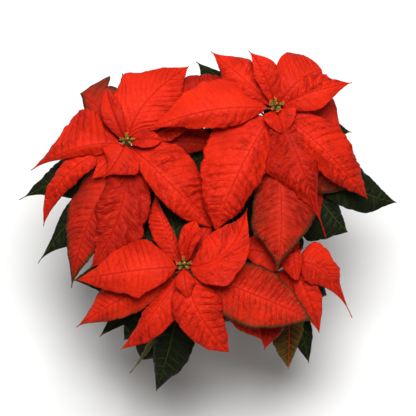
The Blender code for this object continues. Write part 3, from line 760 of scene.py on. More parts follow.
class Mottling:
    """Broad and fine patches that vary a colour over a surface."""

    layers = (("Broad", "Patches", 2.0, 0.36, 0.64), ("Fine", "Specks", 4.0, 0.42, 0.66))

    def __init__(self) -> None:
        """Builds the node group."""
        sketch, given, result = new_group(
            "mottling",
            {"Vector": "NodeSocketVector", "Broad": "NodeSocketFloat", "Fine": "NodeSocketFloat"},
            {"Patches": "NodeSocketFloat", "Specks": "NodeSocketFloat"},
        )
        for scale, target, detail, low, high in self.layers:
            noise = sketch.noise(given.outputs["Vector"], given.outputs[scale], detail)
            sketch.feed(result.inputs[target], sketch.ramp(noise, low, high))
        self.group = sketch.tree


@dataclass(frozen=True)
class BladeFinish:
    """The skin of one side of a blade. Colours are linear.

    net, side and midrib are how strongly the veins take the vein's colour; crease and crepe are how strongly
    the creases and the crepe take it as painted shade. old is the colour that dulled blades take, and on
    bracts that lie under others it is painted shade.
    """

    name: str
    bright: Colour
    deep: Colour
    vein: Colour
    margin: Colour
    old: Colour
    roughness: float = 0.56
    rough_range: float = 0.12
    shine: float = 0.09
    net: float = 0.10
    side: float = 0.20
    midrib: float = 0.45
    crease: float = 0.50
    crepe: float = 0.17
    relief: float = 1.0
    depth: float = 0.0006
    broad: float = 3.2
    fine: float = 38.0
    speck_share: float = 0.25

    def material(self, veins: Veins, mottling: Mottling) -> bpy.types.Material:
        """Builds the skin.

        Args:
            veins: The vein net.
            mottling: The patches.

        Returns:
            The material.
        """
        material, sketch, shader = new_material(self.name)
        place = sketch.add("ShaderNodeAttribute", attribute_name="blade_place").outputs["Vector"]
        skin = sketch.add("ShaderNodeUVMap", uv_map="skin").outputs[0]
        # the middle value is how far the blade is dulled, with painted shade on bracts that lie under others
        turned_green, dullness_and_shade, distance = sketch.attribute("blade_tint")
        crease, wrinkled, veined = sketch.attribute("blade_skin")
        net = sketch.use(veins.group, Place=place, Distance=distance, Map=skin).outputs
        patches, specks = sketch.use(mottling.group, Vector=skin, Broad=self.broad, Fine=self.fine).outputs
        crepe = sketch.maths("MULTIPLY", net["Crepe"], wrinkled)
        side = sketch.maths("MULTIPLY", net["Side"], veined)
        speck_share = sketch.maths("MULTIPLY", specks, self.speck_share)
        # painted shade: creases and crepe are darkened towards the vein colour
        painted_crease_shade = sketch.strongest((crease, self.crease), (crepe, self.crepe))
        lines = sketch.strongest((side, self.side), (net["Net"], self.net), (net["Midrib"], self.midrib))
        colour = sketch.mix(patches, self.bright, self.deep)
        for share, coat in (
            (speck_share, self.deep), (turned_green, self.margin), (dullness_and_shade, self.old),
            (painted_crease_shade, self.vein), (lines, self.vein),
        ):
            colour = sketch.mix(share, colour, coat)
        height = 0.0
        for mask, rise in (
            (side, -0.7), (crepe, -0.8), (net["Net"], -0.35), (net["Midrib"], -0.5), (specks, 0.3)
        ):
            height = sketch.maths("MULTIPLY_ADD", mask, rise, height)
        dress(sketch, shader, self, colour, specks, height)
        return material


@dataclass(frozen=True)
class GrainFinish:
    """A finish of patches and specks on the object's own coordinates. Colours are linear."""

    name: str
    light: Colour
    dark: Colour
    speck: Colour
    broad: float
    fine: float
    stretch: Point = (1.0, 1.0, 1.0)
    roughness: float = 0.7
    rough_range: float = 0.1
    shine: float = 0.4
    relief: float = 0.5
    depth: float = 0.0006
    speck_share: float = 0.5
    patch_rise: float = 0.6

    def material(self, mottling: Mottling) -> bpy.types.Material:
        """Builds the finish.

        Args:
            mottling: The patches.

        Returns:
            The material.
        """
        material, sketch, shader = new_material(self.name)
        mapped = sketch.add("ShaderNodeMapping")
        sketch.feed(mapped.inputs["Vector"], sketch.add("ShaderNodeTexCoord").outputs["Object"])
        mapped.inputs["Scale"].default_value = self.stretch
        mottled = sketch.use(mottling.group, Vector=mapped.outputs[0], Broad=self.broad, Fine=self.fine)
        patches, specks = mottled.outputs
        share = sketch.maths("MULTIPLY", specks, self.speck_share)
        colour = sketch.mix(share, sketch.mix(patches, self.light, self.dark), self.speck)
        height = sketch.maths("MULTIPLY_ADD", patches, self.patch_rise, specks)
        dress(sketch, shader, self, colour, specks, height)
        return material


def dress(
    sketch: Sketch, shader: bpy.types.Node, finish: BladeFinish | GrainFinish, colour: object,
    specks: object, height: object,
) -> None:
    """Feeds a Principled shader.

    Args:
        sketch: The material's sketch.
        shader: Its shader.
        finish: The finish, for its gloss and the depth of its bumps.
        colour: The colour's socket.
        specks: The mask of the specks, which are rougher.
        height: The height's socket.
    """
    sketch.feed(shader.inputs["Base Color"], colour)
    rough = sketch.maths("MULTIPLY_ADD", specks, finish.rough_range, finish.roughness)
    sketch.feed(shader.inputs["Roughness"], rough)
    shader.inputs["Specular IOR Level"].default_value = finish.shine
    bump = sketch.add("ShaderNodeBump")
    bump.inputs["Strength"].default_value = finish.relief
    bump.inputs["Distance"].default_value = finish.depth
    sketch.feed(bump.inputs["Height"], height)
    sketch.feed(shader.inputs["Normal"], bump.outputs[0])


class Skin(Enum):
    """The skins of the blades."""

    # its old colour is the dark red of turning bracts, and of the painted shade on bracts under others
    BRACT = BladeFinish(
        "bract upper side", (0.60, 0.0175, 0.0032), (0.47, 0.0120, 0.0022), (0.19, 0.0020, 0.0010),
        (0.036, 0.028, 0.009), (0.15, 0.0040, 0.0025),
    )
    BRACT_UNDER = BladeFinish(
        "bract underside", (0.56, 0.022, 0.010), (0.44, 0.014, 0.008), (0.60, 0.045, 0.022),
        (0.06, 0.055, 0.02), (0.20, 0.010, 0.008), roughness=0.62,
    )
    LEAF = BladeFinish(
        "leaf upper side", (0.0062, 0.0090, 0.0024), (0.0034, 0.0052, 0.0014), (0.042, 0.057, 0.009),
        (0.020, 0.014, 0.010), (0.040, 0.022, 0.020), roughness=0.50, side=0.9, midrib=0.9,
        crease=0.12, crepe=0.06, relief=0.6, shine=0.08,
    )
    LEAF_UNDER = BladeFinish(
        "leaf underside", (0.045, 0.062, 0.030), (0.032, 0.045, 0.022), (0.10, 0.10, 0.045),
        (0.05, 0.035, 0.02), (0.12, 0.09, 0.02), roughness=0.6, crease=0.3, crepe=0.1,
    )
    TURNING = BladeFinish(
        "turning leaf upper side", (0.036, 0.040, 0.005), (0.019, 0.023, 0.004), (0.66, 0.045, 0.008),
        (0.070, 0.062, 0.008), (0.11, 0.050, 0.006), side=0.95, net=0.06, midrib=1.0, crease=0.05,
        crepe=0.03, relief=0.6,
    )
    WITHERED = BladeFinish(
        "withered leaf", (0.26, 0.25, 0.085), (0.13, 0.12, 0.035), (0.10, 0.085, 0.02),
        (0.10, 0.07, 0.03), (0.12, 0.09, 0.02), roughness=0.7,
    )


class Grain(Enum):
    """The finishes of all but the blades."""

    BRACT_STALK = GrainFinish(
        "bract stalk", (0.42, 0.020, 0.006), (0.26, 0.014, 0.005), (0.45, 0.07, 0.02), 180.0, 900.0,
        roughness=0.5,
    )
    LEAF_STALK = GrainFinish(
        "leaf stalk", (0.16, 0.035, 0.015), (0.07, 0.045, 0.012), (0.20, 0.10, 0.03), 160.0, 900.0,
        roughness=0.5,
    )
    STEM = GrainFinish(
        "green stem", (0.065, 0.080, 0.018), (0.040, 0.050, 0.014), (0.13, 0.11, 0.045), 120.0, 700.0,
        stretch=(1.0, 1.0, 0.35), roughness=0.55,
    )
    BARK = GrainFinish(
        "bark", (0.115, 0.085, 0.045), (0.050, 0.036, 0.020), (0.19, 0.155, 0.10), 90.0, 520.0,
        stretch=(1.0, 1.0, 0.30), roughness=0.8, relief=0.9, depth=0.0009,
    )
    PEAT = GrainFinish(
        "peat", (0.034, 0.020, 0.012), (0.014, 0.009, 0.006), (0.075, 0.045, 0.025), 150.0, 900.0,
        roughness=0.88, relief=1.0, depth=0.0014, shine=0.2,
    )
    PERLITE = GrainFinish(
        "perlite", (0.70, 0.68, 0.62), (0.52, 0.49, 0.43), (0.35, 0.31, 0.25), 600.0, 2200.0,
        roughness=0.85, shine=0.3,
    )
    POT = GrainFinish(
        "pot plastic", (0.315, 0.112, 0.058), (0.270, 0.092, 0.047), (0.36, 0.15, 0.09), 26.0, 1400.0,
        roughness=0.44, relief=0.25, depth=0.0002, speck_share=0.25,
    )
    CUP = GrainFinish(
        "flower cup", (0.15, 0.18, 0.012), (0.02, 0.045, 0.005), (0.34, 0.26, 0.02), 420.0, 2500.0,
        roughness=0.45,
    )
    CLUSTER_STALK = GrainFinish(
        "cluster stalk", (0.030, 0.035, 0.008), (0.015, 0.010, 0.006), (0.10, 0.010, 0.006), 420.0,
        2500.0, roughness=0.6,
    )
    GLAND = GrainFinish(
        "nectar gland", (0.70, 0.34, 0.010), (0.70, 0.14, 0.006), (0.80, 0.50, 0.03), 500.0, 2500.0,
        roughness=0.28, shine=0.6,
    )
    STAMEN = GrainFinish(
        "stamen", (0.62, 0.035, 0.012), (0.42, 0.020, 0.010), (0.75, 0.20, 0.03), 700.0, 3000.0,
        roughness=0.4,
    )
    POLLEN = GrainFinish(
        "pollen", (0.60, 0.07, 0.010), (0.55, 0.02, 0.006), (0.80, 0.42, 0.03), 900.0, 4000.0,
        roughness=0.8,
    )
    STUDIO_FLOOR = GrainFinish(
        "studio floor", (0.80, 0.80, 0.79), (0.79, 0.79, 0.78), (0.80, 0.80, 0.79), 4.0, 300.0,
        relief=0.0,
    )


class Wardrobe:
    """Every finish, built once."""

    blade_skins = {
        (BladeKind.BRACT, Age.FRESH): (Skin.BRACT, Skin.BRACT_UNDER, Grain.BRACT_STALK),
        (BladeKind.LEAF, Age.FRESH): (Skin.LEAF, Skin.LEAF_UNDER, Grain.LEAF_STALK),
        (BladeKind.LEAF, Age.TURNING): (Skin.TURNING, Skin.LEAF_UNDER, Grain.LEAF_STALK),
        (BladeKind.LEAF, Age.WITHERED): (Skin.WITHERED, Skin.WITHERED, Grain.LEAF_STALK),
    }

    def __init__(self) -> None:
        """Builds the node groups and the materials."""
        veins = Veins()
        mottling = Mottling()
        self.materials = {skin: skin.value.material(veins, mottling) for skin in Skin}
        self.materials.update({grain: grain.value.material(mottling) for grain in Grain})

    def put(self, piece: bpy.types.Object, *finishes: Skin | Grain) -> None:
        """Gives a piece its finishes, in the order of its material slots."""
        for finish in finishes:
            piece.data.materials.append(self.materials[finish])


# Blades


@dataclass(frozen=True)
class Pattern:
    """Noise over a blade: its number, its cells a unit along and across the blade, and its start."""

    number: int
    along: float
    across: float
    start: float

    def read(
        self, seed: int, along: np.ndarray, across: np.ndarray, shift: tuple[object, object] = (0.0, 0.0)
    ) -> np.ndarray:
        """The noise, from -1 to 1.

        Args:
            seed: The blade's seed.
            along: Where it is read along the blade, in mm or side veins.
            across: Where it is read across it, in mm or half widths.
            shift: What is added to each of them, in cells.

        Returns:
            The noise at each place.
        """
        x = along * self.along + shift[0]
        y = across * self.across + self.start + shift[1]
        return plane_noise(x, y, seed * 7 + self.number)


@dataclass
class BladePiece:
    """One bract or leaf, with its stalk and the raised rib under it. Sizes in mm."""

    name: str
    kind: BladeKind
    blade: Blade
    root: np.ndarray
    stalk: float
    seed: int
    thickness: float = 0.5
    stalk_half_width: float = 1.3
    tip_half_width: float = 0.45
    root_taper: float = 0.72
    tooth_spread: float = 0.09
    arch_skew: float = 0.22
    bow_share: float = 0.75
    full_length: float = 120.0
    full_width: float = 14.0
    vein_gap: float = 9.5
    vein_limits: tuple[int, int] = (5, 22)
    vein_shift: float = 0.16
    vein_bend: float = 0.22
    vein_width: float = 0.09
    rows_a_vein: int = 9
    stalk_rows: int = 8
    column_gap: float = 1.6
    column_limits: tuple[int, int] = (6, 20)
    column_power: float = 1.2
    sweep: float = 0.44
    sweep_curve: tuple[float, float] = (0.85, 0.45)
    widest_sweep: float = 0.30
    ripples: float = 19.0
    ripple_width: float = 12.0
    puff: float = 0.95
    puff_range: tuple[float, float] = (0.15, 1.50)
    groove: float = 0.25
    midrib_groove: float = 0.45
    midrib_width: float = 0.9
    wrinkle: float = 1.25
    plain_crumple: float = 0.26
    grain: float = 0.22
    ruck: float = 2.2
    swelling: float = 1.6
    margin_wave: float = 1.3
    margin_flutter: float = 0.5
    green_edge: tuple[float, float] = (6.5, 1.2)
    map_size: float = 200.0
    rib_radius: float = 1.15
    rib_points: int = 22
    rib_end: float = 0.88
    rib_taper: float = 0.72
    rib_least: float = 0.55
    rib_length: float = 260.0

    # noise patterns, read along the blade in side veins or mm, and across it in mm or half widths
    vein_bends = Pattern(0, 0.9, 1 / 11, 50.0)
    creases = Pattern(1, 1.7, 1 / 8, 20.0)
    lumps = Pattern(2, 1 / 3.4, 1 / 3.4, 30.0)
    patches = Pattern(3, 1 / 24, 1.6, 9.0)
    swells = Pattern(3, 1 / 26, 1.4, 9.0)
    waves = Pattern(4, 1 / 12, 5.0, 12.0)
    green_patches = Pattern(5, 1 / 9, 1 / 9, 40.0)
    fine_creases = Pattern(6, 3.3, 1 / 4.2, 20.0)
    flutters = Pattern(8, 1 / 4.2, 5.0, 12.0)
    warps = Pattern(9, 1 / 13, 1 / 13, 60.0)
    rucks = Pattern(10, 0.7, 1 / 15, 40.0)
    bites = Pattern(11, 1 / 9, 5.0, 22.0)
    nibbles = Pattern(12, 1 / 3.5, 5.0, 22.0)

    # where each form grows, or fades at the margin, from midrib to margin as shares of the half width
    bend_zone = (0.05, 0.4)
    puff_zone = (0.0, 0.24)
    margin_zone = (0.7, 1.0)
    groove_zone = (0.0, 0.1)
    side_zone = (0.0, 0.12)
    wrinkle_zone = (0.02, 0.2)
    ruck_zone = (0.05, 0.3)
    swell_zone = (0.1, 0.8)
    green_zone = (0.25, 1.0)

    # the same along the blade, from its foot to its tip as shares of the length
    foot_length = 0.10
    tip_groove_zone = (1.0, 0.8)
    tip_trim_zone = (1.0, 0.9)
    tip_green_zone = (0.80, 1.0)

    # over which values of its noise a patch grows more wrinkled, and a crease deeper
    patch_range = (-0.45, 0.55)
    crease_range = (0.34, 0.0)
    fine_crease_range = (0.28, 0.0)

    def __post_init__(self) -> None:
        """Works out the midrib, the number of side veins and the generator for this blade."""
        tip = np.array(self.blade.tip, float)
        chord = tip - self.root
        forward = unit(np.array((chord[0], chord[1], 0.0)))
        sideways = np.array((-forward[1], forward[0], 0.0))
        bow = (sideways * self.blade.sway + forward * self.blade.lean) / self.bow_share
        lift = np.array((0.0, 0.0, self.blade.arch / self.bow_share))
        self.midrib = np.array(
            (
                self.root,
                self.root + chord / 3.0 + bow + lift * (1.0 + self.arch_skew),
                self.root + chord * (2.0 / 3.0) + bow + lift * (1.0 - self.arch_skew),
                tip,
            )
        )
        self.length = float(np.linalg.norm(chord))
        gap = self.vein_gap * self.blade.look.gap
        self.veins = int(np.clip(round(self.length * (1.0 - self.stalk) / gap), *self.vein_limits))
        self.size = float(np.clip(self.length / self.full_length, 0.35, 1.0))
        self.random = np.random.default_rng(self.seed)

    @staticmethod
    def swell(share: np.ndarray, power: float) -> np.ndarray:
        """Rises from 0 to 1, where it is level. A larger power keeps it low for longer."""
        share = np.clip(share, 0.0, 1.0)
        return share**power * (1.0 + power * (1.0 - share))

    def half_width(self, half: Half, share: np.ndarray) -> np.ndarray:
        """The distance in mm from midrib to margin on one side.

        Args:
            half: That side.
            share: Shares of the blade's length.

        Returns:
            The half width at each of them.
        """
        along = (share - self.stalk) / (1.0 - self.stalk)
        rising = self.swell(along / half.peak, self.root_taper)
        falling = self.swell((1.0 - along) / (1.0 - half.peak), self.blade.taper)
        tooth = half.tooth * np.clip(1.0 - np.abs(share - half.tooth_at) / self.tooth_spread, 0.0, 1.0)
        least = self.stalk_half_width + (self.tip_half_width - self.stalk_half_width) * along
        width = np.maximum(least, half.width * np.where(along < half.peak, rising, falling) + tooth)
        return np.where(along <= 0.0, self.stalk_half_width, width)

    @staticmethod
    def cross_section(half: Half, width: np.ndarray, across: np.ndarray) -> tuple[np.ndarray, np.ndarray]:
        """How far a point lies beside the midrib and above it, in mm.

        Args:
            half: The side of the blade.
            width: The half width there.
            across: The share of the way from midrib to margin.

        Returns:
            The two distances.
        """
        fold = math.radians(half.fold)
        curl = math.radians(half.curl) or 1e-4
        level = width * (math.sin(fold) - np.sin(fold - curl * across)) / curl
        height = width * (np.cos(fold - curl * across) - math.cos(fold)) / curl
        return level, height

    def rows(self) -> tuple[np.ndarray, np.ndarray]:
        """The rows of points, which follow the side veins.

        Returns:
            Where each row meets the midrib, as a share of the length, and its vein count there.
        """
        phase = np.arange(self.veins * self.rows_a_vein + 1) / self.rows_a_vein
        even = np.arange(self.veins + 1.0)
        knots = even.copy()
        knots[1:-1] += self.random.uniform(-self.vein_shift, self.vein_shift, self.veins - 1)
        along = self.stalk + (1.0 - self.stalk) * np.interp(phase, even, knots) / self.veins
        foot = np.linspace(0.0, self.stalk, self.stalk_rows, endpoint=False)
        foot_phase = np.linspace(-1.0, 0.0, self.stalk_rows, endpoint=False)
        return np.concatenate((foot, along)), np.concatenate((foot_phase, phase))

    def columns(self) -> np.ndarray:
        """The shares across the blade, from -1 at its right margin to 1 at its left one."""
        sides = []
        for half in (self.blade.right, self.blade.left):
            count = int(np.clip(round(half.width / self.column_gap), *self.column_limits))
            sides.append((np.arange(1, count + 1) / count) ** self.column_power)
        return np.concatenate((-sides[0][::-1], [0.0], sides[1]))

    def shares(self, rows: np.ndarray, columns: np.ndarray) -> np.ndarray:
        """The share of the length of each point of the grid, swept forwards along the side veins.

        Args:
            rows: Where each row meets the midrib.
            columns: The shares across the blade.

        Returns:
            The shares, one row of the grid a row.
        """
        steps = np.linspace(0.0, 1.0, 401)
        swept = np.empty((len(rows), len(columns)))
        start, gain = self.sweep_curve
        for index, across in enumerate(columns):
            half = self.blade.left if across > 0 else self.blade.right
            slope = self.sweep * self.blade.look.slant * min(half.width / self.length, self.widest_sweep)
            out = abs(across)
            origin = steps - slope * out * (start + gain * out) * np.sin(math.pi * steps)
            swept[:, index] = np.interp(rows, origin, steps)
        return swept

    def surface(self, share: np.ndarray, across: np.ndarray) -> tuple[np.ndarray, np.ndarray]:
        """The smooth surface of the blade, as the CAD solid has it.

        Args:
            share: Shares of the length.
            across: Shares across the blade, in an array of the same shape.

        Returns:
            The points in mm, and the half width at each.
        """
        step = 0.01
        place = bezier(self.midrib, share)
        before = bezier(self.midrib, np.maximum(share - step, 0.0))
        after = bezier(self.midrib, np.minimum(share + step, 1.0))
        forward = unit(after - before)
        sideways = level_across(forward)
        upwards = np.cross(forward, sideways)
        left = across > 0
        out = np.abs(across)
        widths = [self.half_width(half, share) for half in (self.blade.left, self.blade.right)]
        left_level, left_height = self.cross_section(self.blade.left, widths[0], out)
        right_level, right_height = self.cross_section(self.blade.right, widths[1], out)
        width = np.where(left, *widths)
        level = np.where(left, left_level, -right_level)
        ripple = np.sin(share * self.ripples + self.blade.tip[0] + np.where(left, 2.0, 0.0))
        ripple = self.blade.wave * out**2 * ripple * np.minimum(1.0, width / self.ripple_width)
        height = np.where(left, left_height, right_height) + ripple
        return place + sideways * level[..., None] + upwards * height[..., None], width

    def trim(self, share: np.ndarray, across: np.ndarray) -> np.ndarray:
        """How far an uneven margin is drawn in, as a share of the half width left."""
        down, side = share * self.length, np.sign(across)
        bites = 0.7 * self.bites.read(self.seed, down, side) + 0.5 * self.nibbles.read(self.seed, down, side)
        bites = np.clip(0.5 + bites, 0.0, 1.0) * smooth(*self.tip_trim_zone, share)
        return 1.0 - self.blade.look.ragged * bites

    def puffs(self, turns: np.ndarray, out: np.ndarray) -> tuple[np.ndarray, np.ndarray]:
        """The puffs between the side veins.

        Args:
            turns: The count of side veins passed.
            out: The share of the way from midrib to margin.

        Returns:
            How far each point is puffed up in mm, and how near it is to a side vein, from 0 to 1.
        """
        pleat = self.blade.look.pleat
        strengths = self.random.uniform(*self.puff_range, self.veins + 6)
        strength = strengths[np.clip(np.floor(turns).astype(int) + 2, 0, self.veins + 5)]
        raised = strength * np.abs(np.sin(math.pi * turns)) ** 0.7
        margin_hold = min(1.0, 0.35 * pleat)
        between = smooth(*self.puff_zone, out)
        between *= 1.0 - (1.0 - margin_hold) * smooth(*self.margin_zone, out)
        off_vein = 0.5 - np.abs(turns - np.floor(turns) - 0.5)
        on_vein = np.exp(-((off_vein / self.vein_width) ** 2)) * smooth(*self.groove_zone, out)
        return self.puff * pleat * raised * between, on_vein

    def wrinkles(
        self, turns: np.ndarray, apart: np.ndarray, warp: np.ndarray
    ) -> tuple[np.ndarray, np.ndarray]:
        """The wrinkles, which run along the side veins.

        Args:
            turns: The count of side veins passed.
            apart: The distance in mm from the midrib.
            warp: What bends them, in cells.

        Returns:
            How high each point is raised, from 0 to 1.5, and how deep in a crease it lies, from 0 to 1.
        """
        coarse = np.abs(self.creases.read(self.seed, turns, apart, (warp, 0.8 * warp)))
        fine = np.abs(self.fine_creases.read(self.seed, turns, apart, (-warp, warp)))
        deep = smooth(*self.crease_range, coarse) ** 1.6
        deep = np.maximum(deep, 0.7 * smooth(*self.fine_crease_range, fine) ** 1.6)
        return coarse**0.7 + 0.5 * fine**0.8, deep

    def relief(
        self, share: np.ndarray, across: np.ndarray, phase: np.ndarray, width: np.ndarray
    ) -> tuple[np.ndarray, np.ndarray]:
        """The relief of the skin, and its state.

        Args:
            share: Shares of the length.
            across: Shares across the blade.
            phase: The count of side veins passed, which is whole on a vein of the left side.
            width: The half width.

        Returns:
            How far each point stands above the smooth surface in mm; and, from 0 to 1 along the last
            axis, how dark its creases and side-vein grooves are painted as shade, how wrinkled it is and how
            clear its side veins are.
        """
        look = self.blade.look
        side = np.sign(across)
        out = np.abs(across)
        apart = out * width
        down = share * self.length
        room = np.minimum(1.0, width / self.full_width) * self.size
        body = smooth(self.stalk, self.stalk + self.foot_length, share) * room
        rough = np.where(across > 0, look.left, look.right)
        rough = 1.0 + (rough - 1.0) * smooth(*self.side_zone, out)
        turns = phase + np.where(across < 0, 0.5, 0.0)
        bend = self.vein_bends.read(self.seed, turns, apart)
        turns = turns + self.vein_bend * bend * smooth(*self.bend_zone, out)
        patch = smooth(*self.patch_range, self.patches.read(self.seed, down, across))
        warp = self.warps.read(self.seed, down, apart, (3.0, 0.0))
        crumple = (self.plain_crumple + 1.2 * look.crumple) * (0.25 + patch)
        rumple = crumple * rough * body * smooth(*self.wrinkle_zone, out)
        puffs, on_vein = self.puffs(turns, out)
        wrinkles, in_crease = self.wrinkles(turns, apart, warp)
        lift = (puffs * rough - self.groove * on_vein) * body
        lift += self.wrinkle * rumple * wrinkles
        beside = np.exp(-((apart / self.midrib_width) ** 2))
        lift -= self.midrib_groove * beside * smooth(*self.tip_groove_zone, share)
        lift += self.grain * self.lumps.read(self.seed, down, across * width) * body * rough
        swells = self.swells.read(self.seed, down, across) * smooth(*self.swell_zone, out)
        lift += self.swelling * swells * body
        rucks = np.abs(self.rucks.read(self.seed, turns, apart, (0.6 * warp, 0.0)))
        lift += self.ruck * rucks * rumple * smooth(*self.ruck_zone, out)
        lift += self.margin_wave * self.waves.read(self.seed, down, side) * out**3 * room
        lift += self.margin_flutter * self.flutters.read(self.seed, down, side) * out**6 * room
        clear = (0.2 + 0.9 * patch) * rough
        # painted shade: how dark the creases and the grooves on the side veins are painted
        depth = in_crease * rumple * 1.5 + 0.45 * on_vein * body * clear
        states = np.stack((depth, 1.3 * rumple, 0.12 + 0.75 * clear), axis=-1)
        return lift, np.clip(states, 0.0, 1.0)

    def tints(self, share: np.ndarray, across: np.ndarray, width: np.ndarray) -> np.ndarray:
        """What the finish reads at each point: how green it is, how dulled and darkened by painted shade,
        and mm from the midrib.

        Args:
            share: Shares of the length.
            across: Shares across the blade.
            width: The half width.

        Returns:
            The three values of each point, along the last axis.
        """
        look = self.blade.look
        out = np.abs(across)
        patch = self.green_patches.read(self.seed, share * self.length, across * width)
        edge = smooth(*self.green_edge, (1.0 - out) * width + 2.0 * patch)
        near_tip = smooth(*self.tip_green_zone, share)
        broad = smooth(*self.green_zone, out + 0.45 * patch) * 0.8 + near_tip * 0.7
        green = edge * min(1.0, 2.6 * look.green) + look.green * broad + 0.55 * look.green**2
        # painted shade: bracts that lie under others are darkened, more towards their foot; turning ones are
        # dulled the same way
        dulled_and_shaded = look.shade * (1.45 - 0.9 * share) * (0.85 + 0.3 * patch)
        return np.stack((np.clip(green, 0.0, 1.0), np.clip(dulled_and_shaded, 0.0, 1.0), out * width), axis=-1)

    def leaf_blade(self) -> bpy.types.Object:
        """The blade itself: a grid shaped to the surface and its relief."""
        rows, row_phase = self.rows()
        columns = self.columns()
        share = self.shares(rows, columns)
        across = np.broadcast_to(columns, share.shape)
        phase = np.broadcast_to(row_phase[:, None], share.shape)
        points, width = self.surface(share, across * self.trim(share, across))
        normals = unit(np.cross(np.gradient(points, axis=0), np.gradient(points, axis=1)))
        lift, states = self.relief(share, across, phase, width)
        ceiling = CAD_BOX[1][2] / MM - self.thickness
        head_room = (ceiling - points[..., 2]) / np.maximum(normals[..., 2], 0.2)
        points = points + normals * np.minimum(lift, head_room)[..., None]
        deselect_all()
        bpy.ops.mesh.primitive_grid_add(
            x_subdivisions=len(rows) - 1, y_subdivisions=len(columns) - 1, size=2.0
        )
        made = bpy.context.object
        spans = np.array(share.shape) - 1
        row, column = np.rint((mesh_points(made)[:, :2] + 1.0) / 2.0 * spans).astype(int).T
        move_points(made, points[row, column] * MM)
        layers = {
            "blade_place": np.stack((across, share, phase), axis=-1),
            "blade_tint": self.tints(share, across, width),
            "blade_skin": states,
        }
        for label, values in layers.items():
            layer = made.data.attributes.new(label, "FLOAT_VECTOR", "POINT")
            layer.data.foreach_set("vector", values[row, column].astype(np.float32).ravel())
        corners = np.empty(len(made.data.loops), np.int32)
        made.data.loops.foreach_get("vertex_index", corners)
        skin = (0.5 + across * width / self.map_size, share * self.length / self.map_size)
        skin = np.stack(skin, axis=-1)[row, column]
        for old in list(made.data.uv_layers):
            made.data.uv_layers.remove(old)
        layer = made.data.uv_layers.new(name="skin")
        layer.uv.foreach_set("vector", skin[corners].astype(np.float32).ravel())
        return made

    def rib(self) -> bpy.types.Object:
        """The round stalk, and the rib that runs on from it under the blade."""
        share = np.linspace(0.0, self.rib_end, self.rib_points)
        points, _ = self.surface(share, np.zeros(share.shape))
        ahead = unit(np.gradient(points, axis=0))
        upwards = np.cross(ahead, level_across(ahead))
        radius = self.rib_radius * (1.0 - self.rib_taper * smooth(self.stalk * 0.6, 0.9, share))
        radius *= min(1.0, self.rib_least + self.length / self.rib_length)
        depth = radius * (0.15 + 0.75 * smooth(self.stalk * 0.7, self.stalk * 1.3, share))
        depth += self.midrib_groove * smooth(self.stalk, self.stalk * 1.5, share)
        return tube(self.name + " rib", (points - upwards * depth[:, None]) * MM, radius * MM, 2)

    def build(self, wardrobe: Wardrobe, node: str) -> None:
        """Builds and dresses the blade.

        Args:
            wardrobe: The finishes.
            node: The CAD node that it stands for.
        """
        blade = self.leaf_blade()
        rib = self.rib()
        upper, under, stalk = wardrobe.blade_skins[self.kind, self.blade.look.age]
        wardrobe.put(blade, upper, under)
        wall = blade.modifiers.new("thickness", "SOLIDIFY")
        wall.thickness = self.thickness * MM
        wall.offset = 0.0
        wall.material_offset = 1
        apply_modifier(blade, wall.name)
        bpy.ops.object.shade_smooth()
        wardrobe.put(rib, stalk)
        commit(join([blade, rib], self.name), node)


# Stems, flowers and trunk


@dataclass
class Shoot:
    """A leafy stem and the hub that carries its rosette. Sizes in mm."""

    branch: Branch
    stem_radius: float = 4.0
    hub_radius: float = 4.2
    stem_points: int = 60
    hub_points: int = 40
    swelling: float = 0.7
    swelling_length: float = 3.0
    leaf_stalk: float = 0.20
    bract_stalk: float = 0.07
    first_leaf_seed: int = 50

    def grown(
        self, name: str, axis: np.ndarray, joints: list[float], radius: float, wardrobe: Wardrobe
    ) -> bpy.types.Object:
        """A green stem that is a little swollen at its joints.

        Args:
            name: Its name.
            axis: The points of its axis.
            joints: Where leaves or bracts join it, as distances along it.
            radius: Its radius at a joint.
            wardrobe: The finishes.

        Returns:
            The stem.
        """
        places = distances(axis)
        radii = np.full(places.shape, radius - self.swelling)
        for joint in joints:
            radii += self.swelling * np.exp(-(((places - joint) / self.swelling_length) ** 2))
        made = tube(name, axis * MM, np.minimum(radii, radius) * MM, 5)
        wardrobe.put(made, Grain.STEM)
        return settle(made, name)

    def stem(self, wardrobe: Wardrobe) -> bpy.types.Object:
        """Builds the stem."""
        share = np.linspace(0.0, 1.0, self.stem_points)
        axis = bezier(self.branch.stem_controls(), share)
        places = distances(axis)
        joints = [float(np.interp(leaf.level, share, places)) for leaf in LEAVES[self.branch.name]]
        joints += [0.0, places[-1]]
        return self.grown("stem_" + self.branch.name, axis, joints, self.stem_radius, wardrobe)

    def hub(self, wardrobe: Wardrobe) -> bpy.types.Object:
        """Builds the hub."""
        foot = np.array(self.branch.head, float) - np.array((0.0, 0.0, self.branch.hub))
        axis = np.linspace(foot, self.branch.head, self.hub_points)
        joints = [self.branch.hub - bract.level for bract in BRACTS[self.branch.name]]
        return self.grown("hub_" + self.branch.name, axis, joints + [0.0], self.hub_radius, wardrobe)

    def build(self, wardrobe: Wardrobe) -> None:
        """Builds the stem with its leaves and the hub with its bracts.

        Args:
            wardrobe: The finishes.
        """
        name = self.branch.name
        seed = self.branch.seed * 100
        commit(self.stem(wardrobe), "leafy_stem_" + name)
        commit(self.hub(wardrobe), "rosette_" + name)
        for index, leaf in enumerate(LEAVES[name]):
            root = self.branch.stem_point(leaf.level)
            BladePiece(
                f"leaf_{name}_{index:02d}", BladeKind.LEAF, leaf, root, self.leaf_stalk,
                seed + self.first_leaf_seed + index,
            ).build(wardrobe, "leafy_stem_" + name)
        for index, bract in enumerate(BRACTS[name]):
            root = np.array(self.branch.head, float) + np.array((*bract.start, -bract.level))
            BladePiece(
                f"bract_{name}_{index:02d}", BladeKind.BRACT, bract, root, self.bract_stalk, seed + index
            ).build(wardrobe, "rosette_" + name)


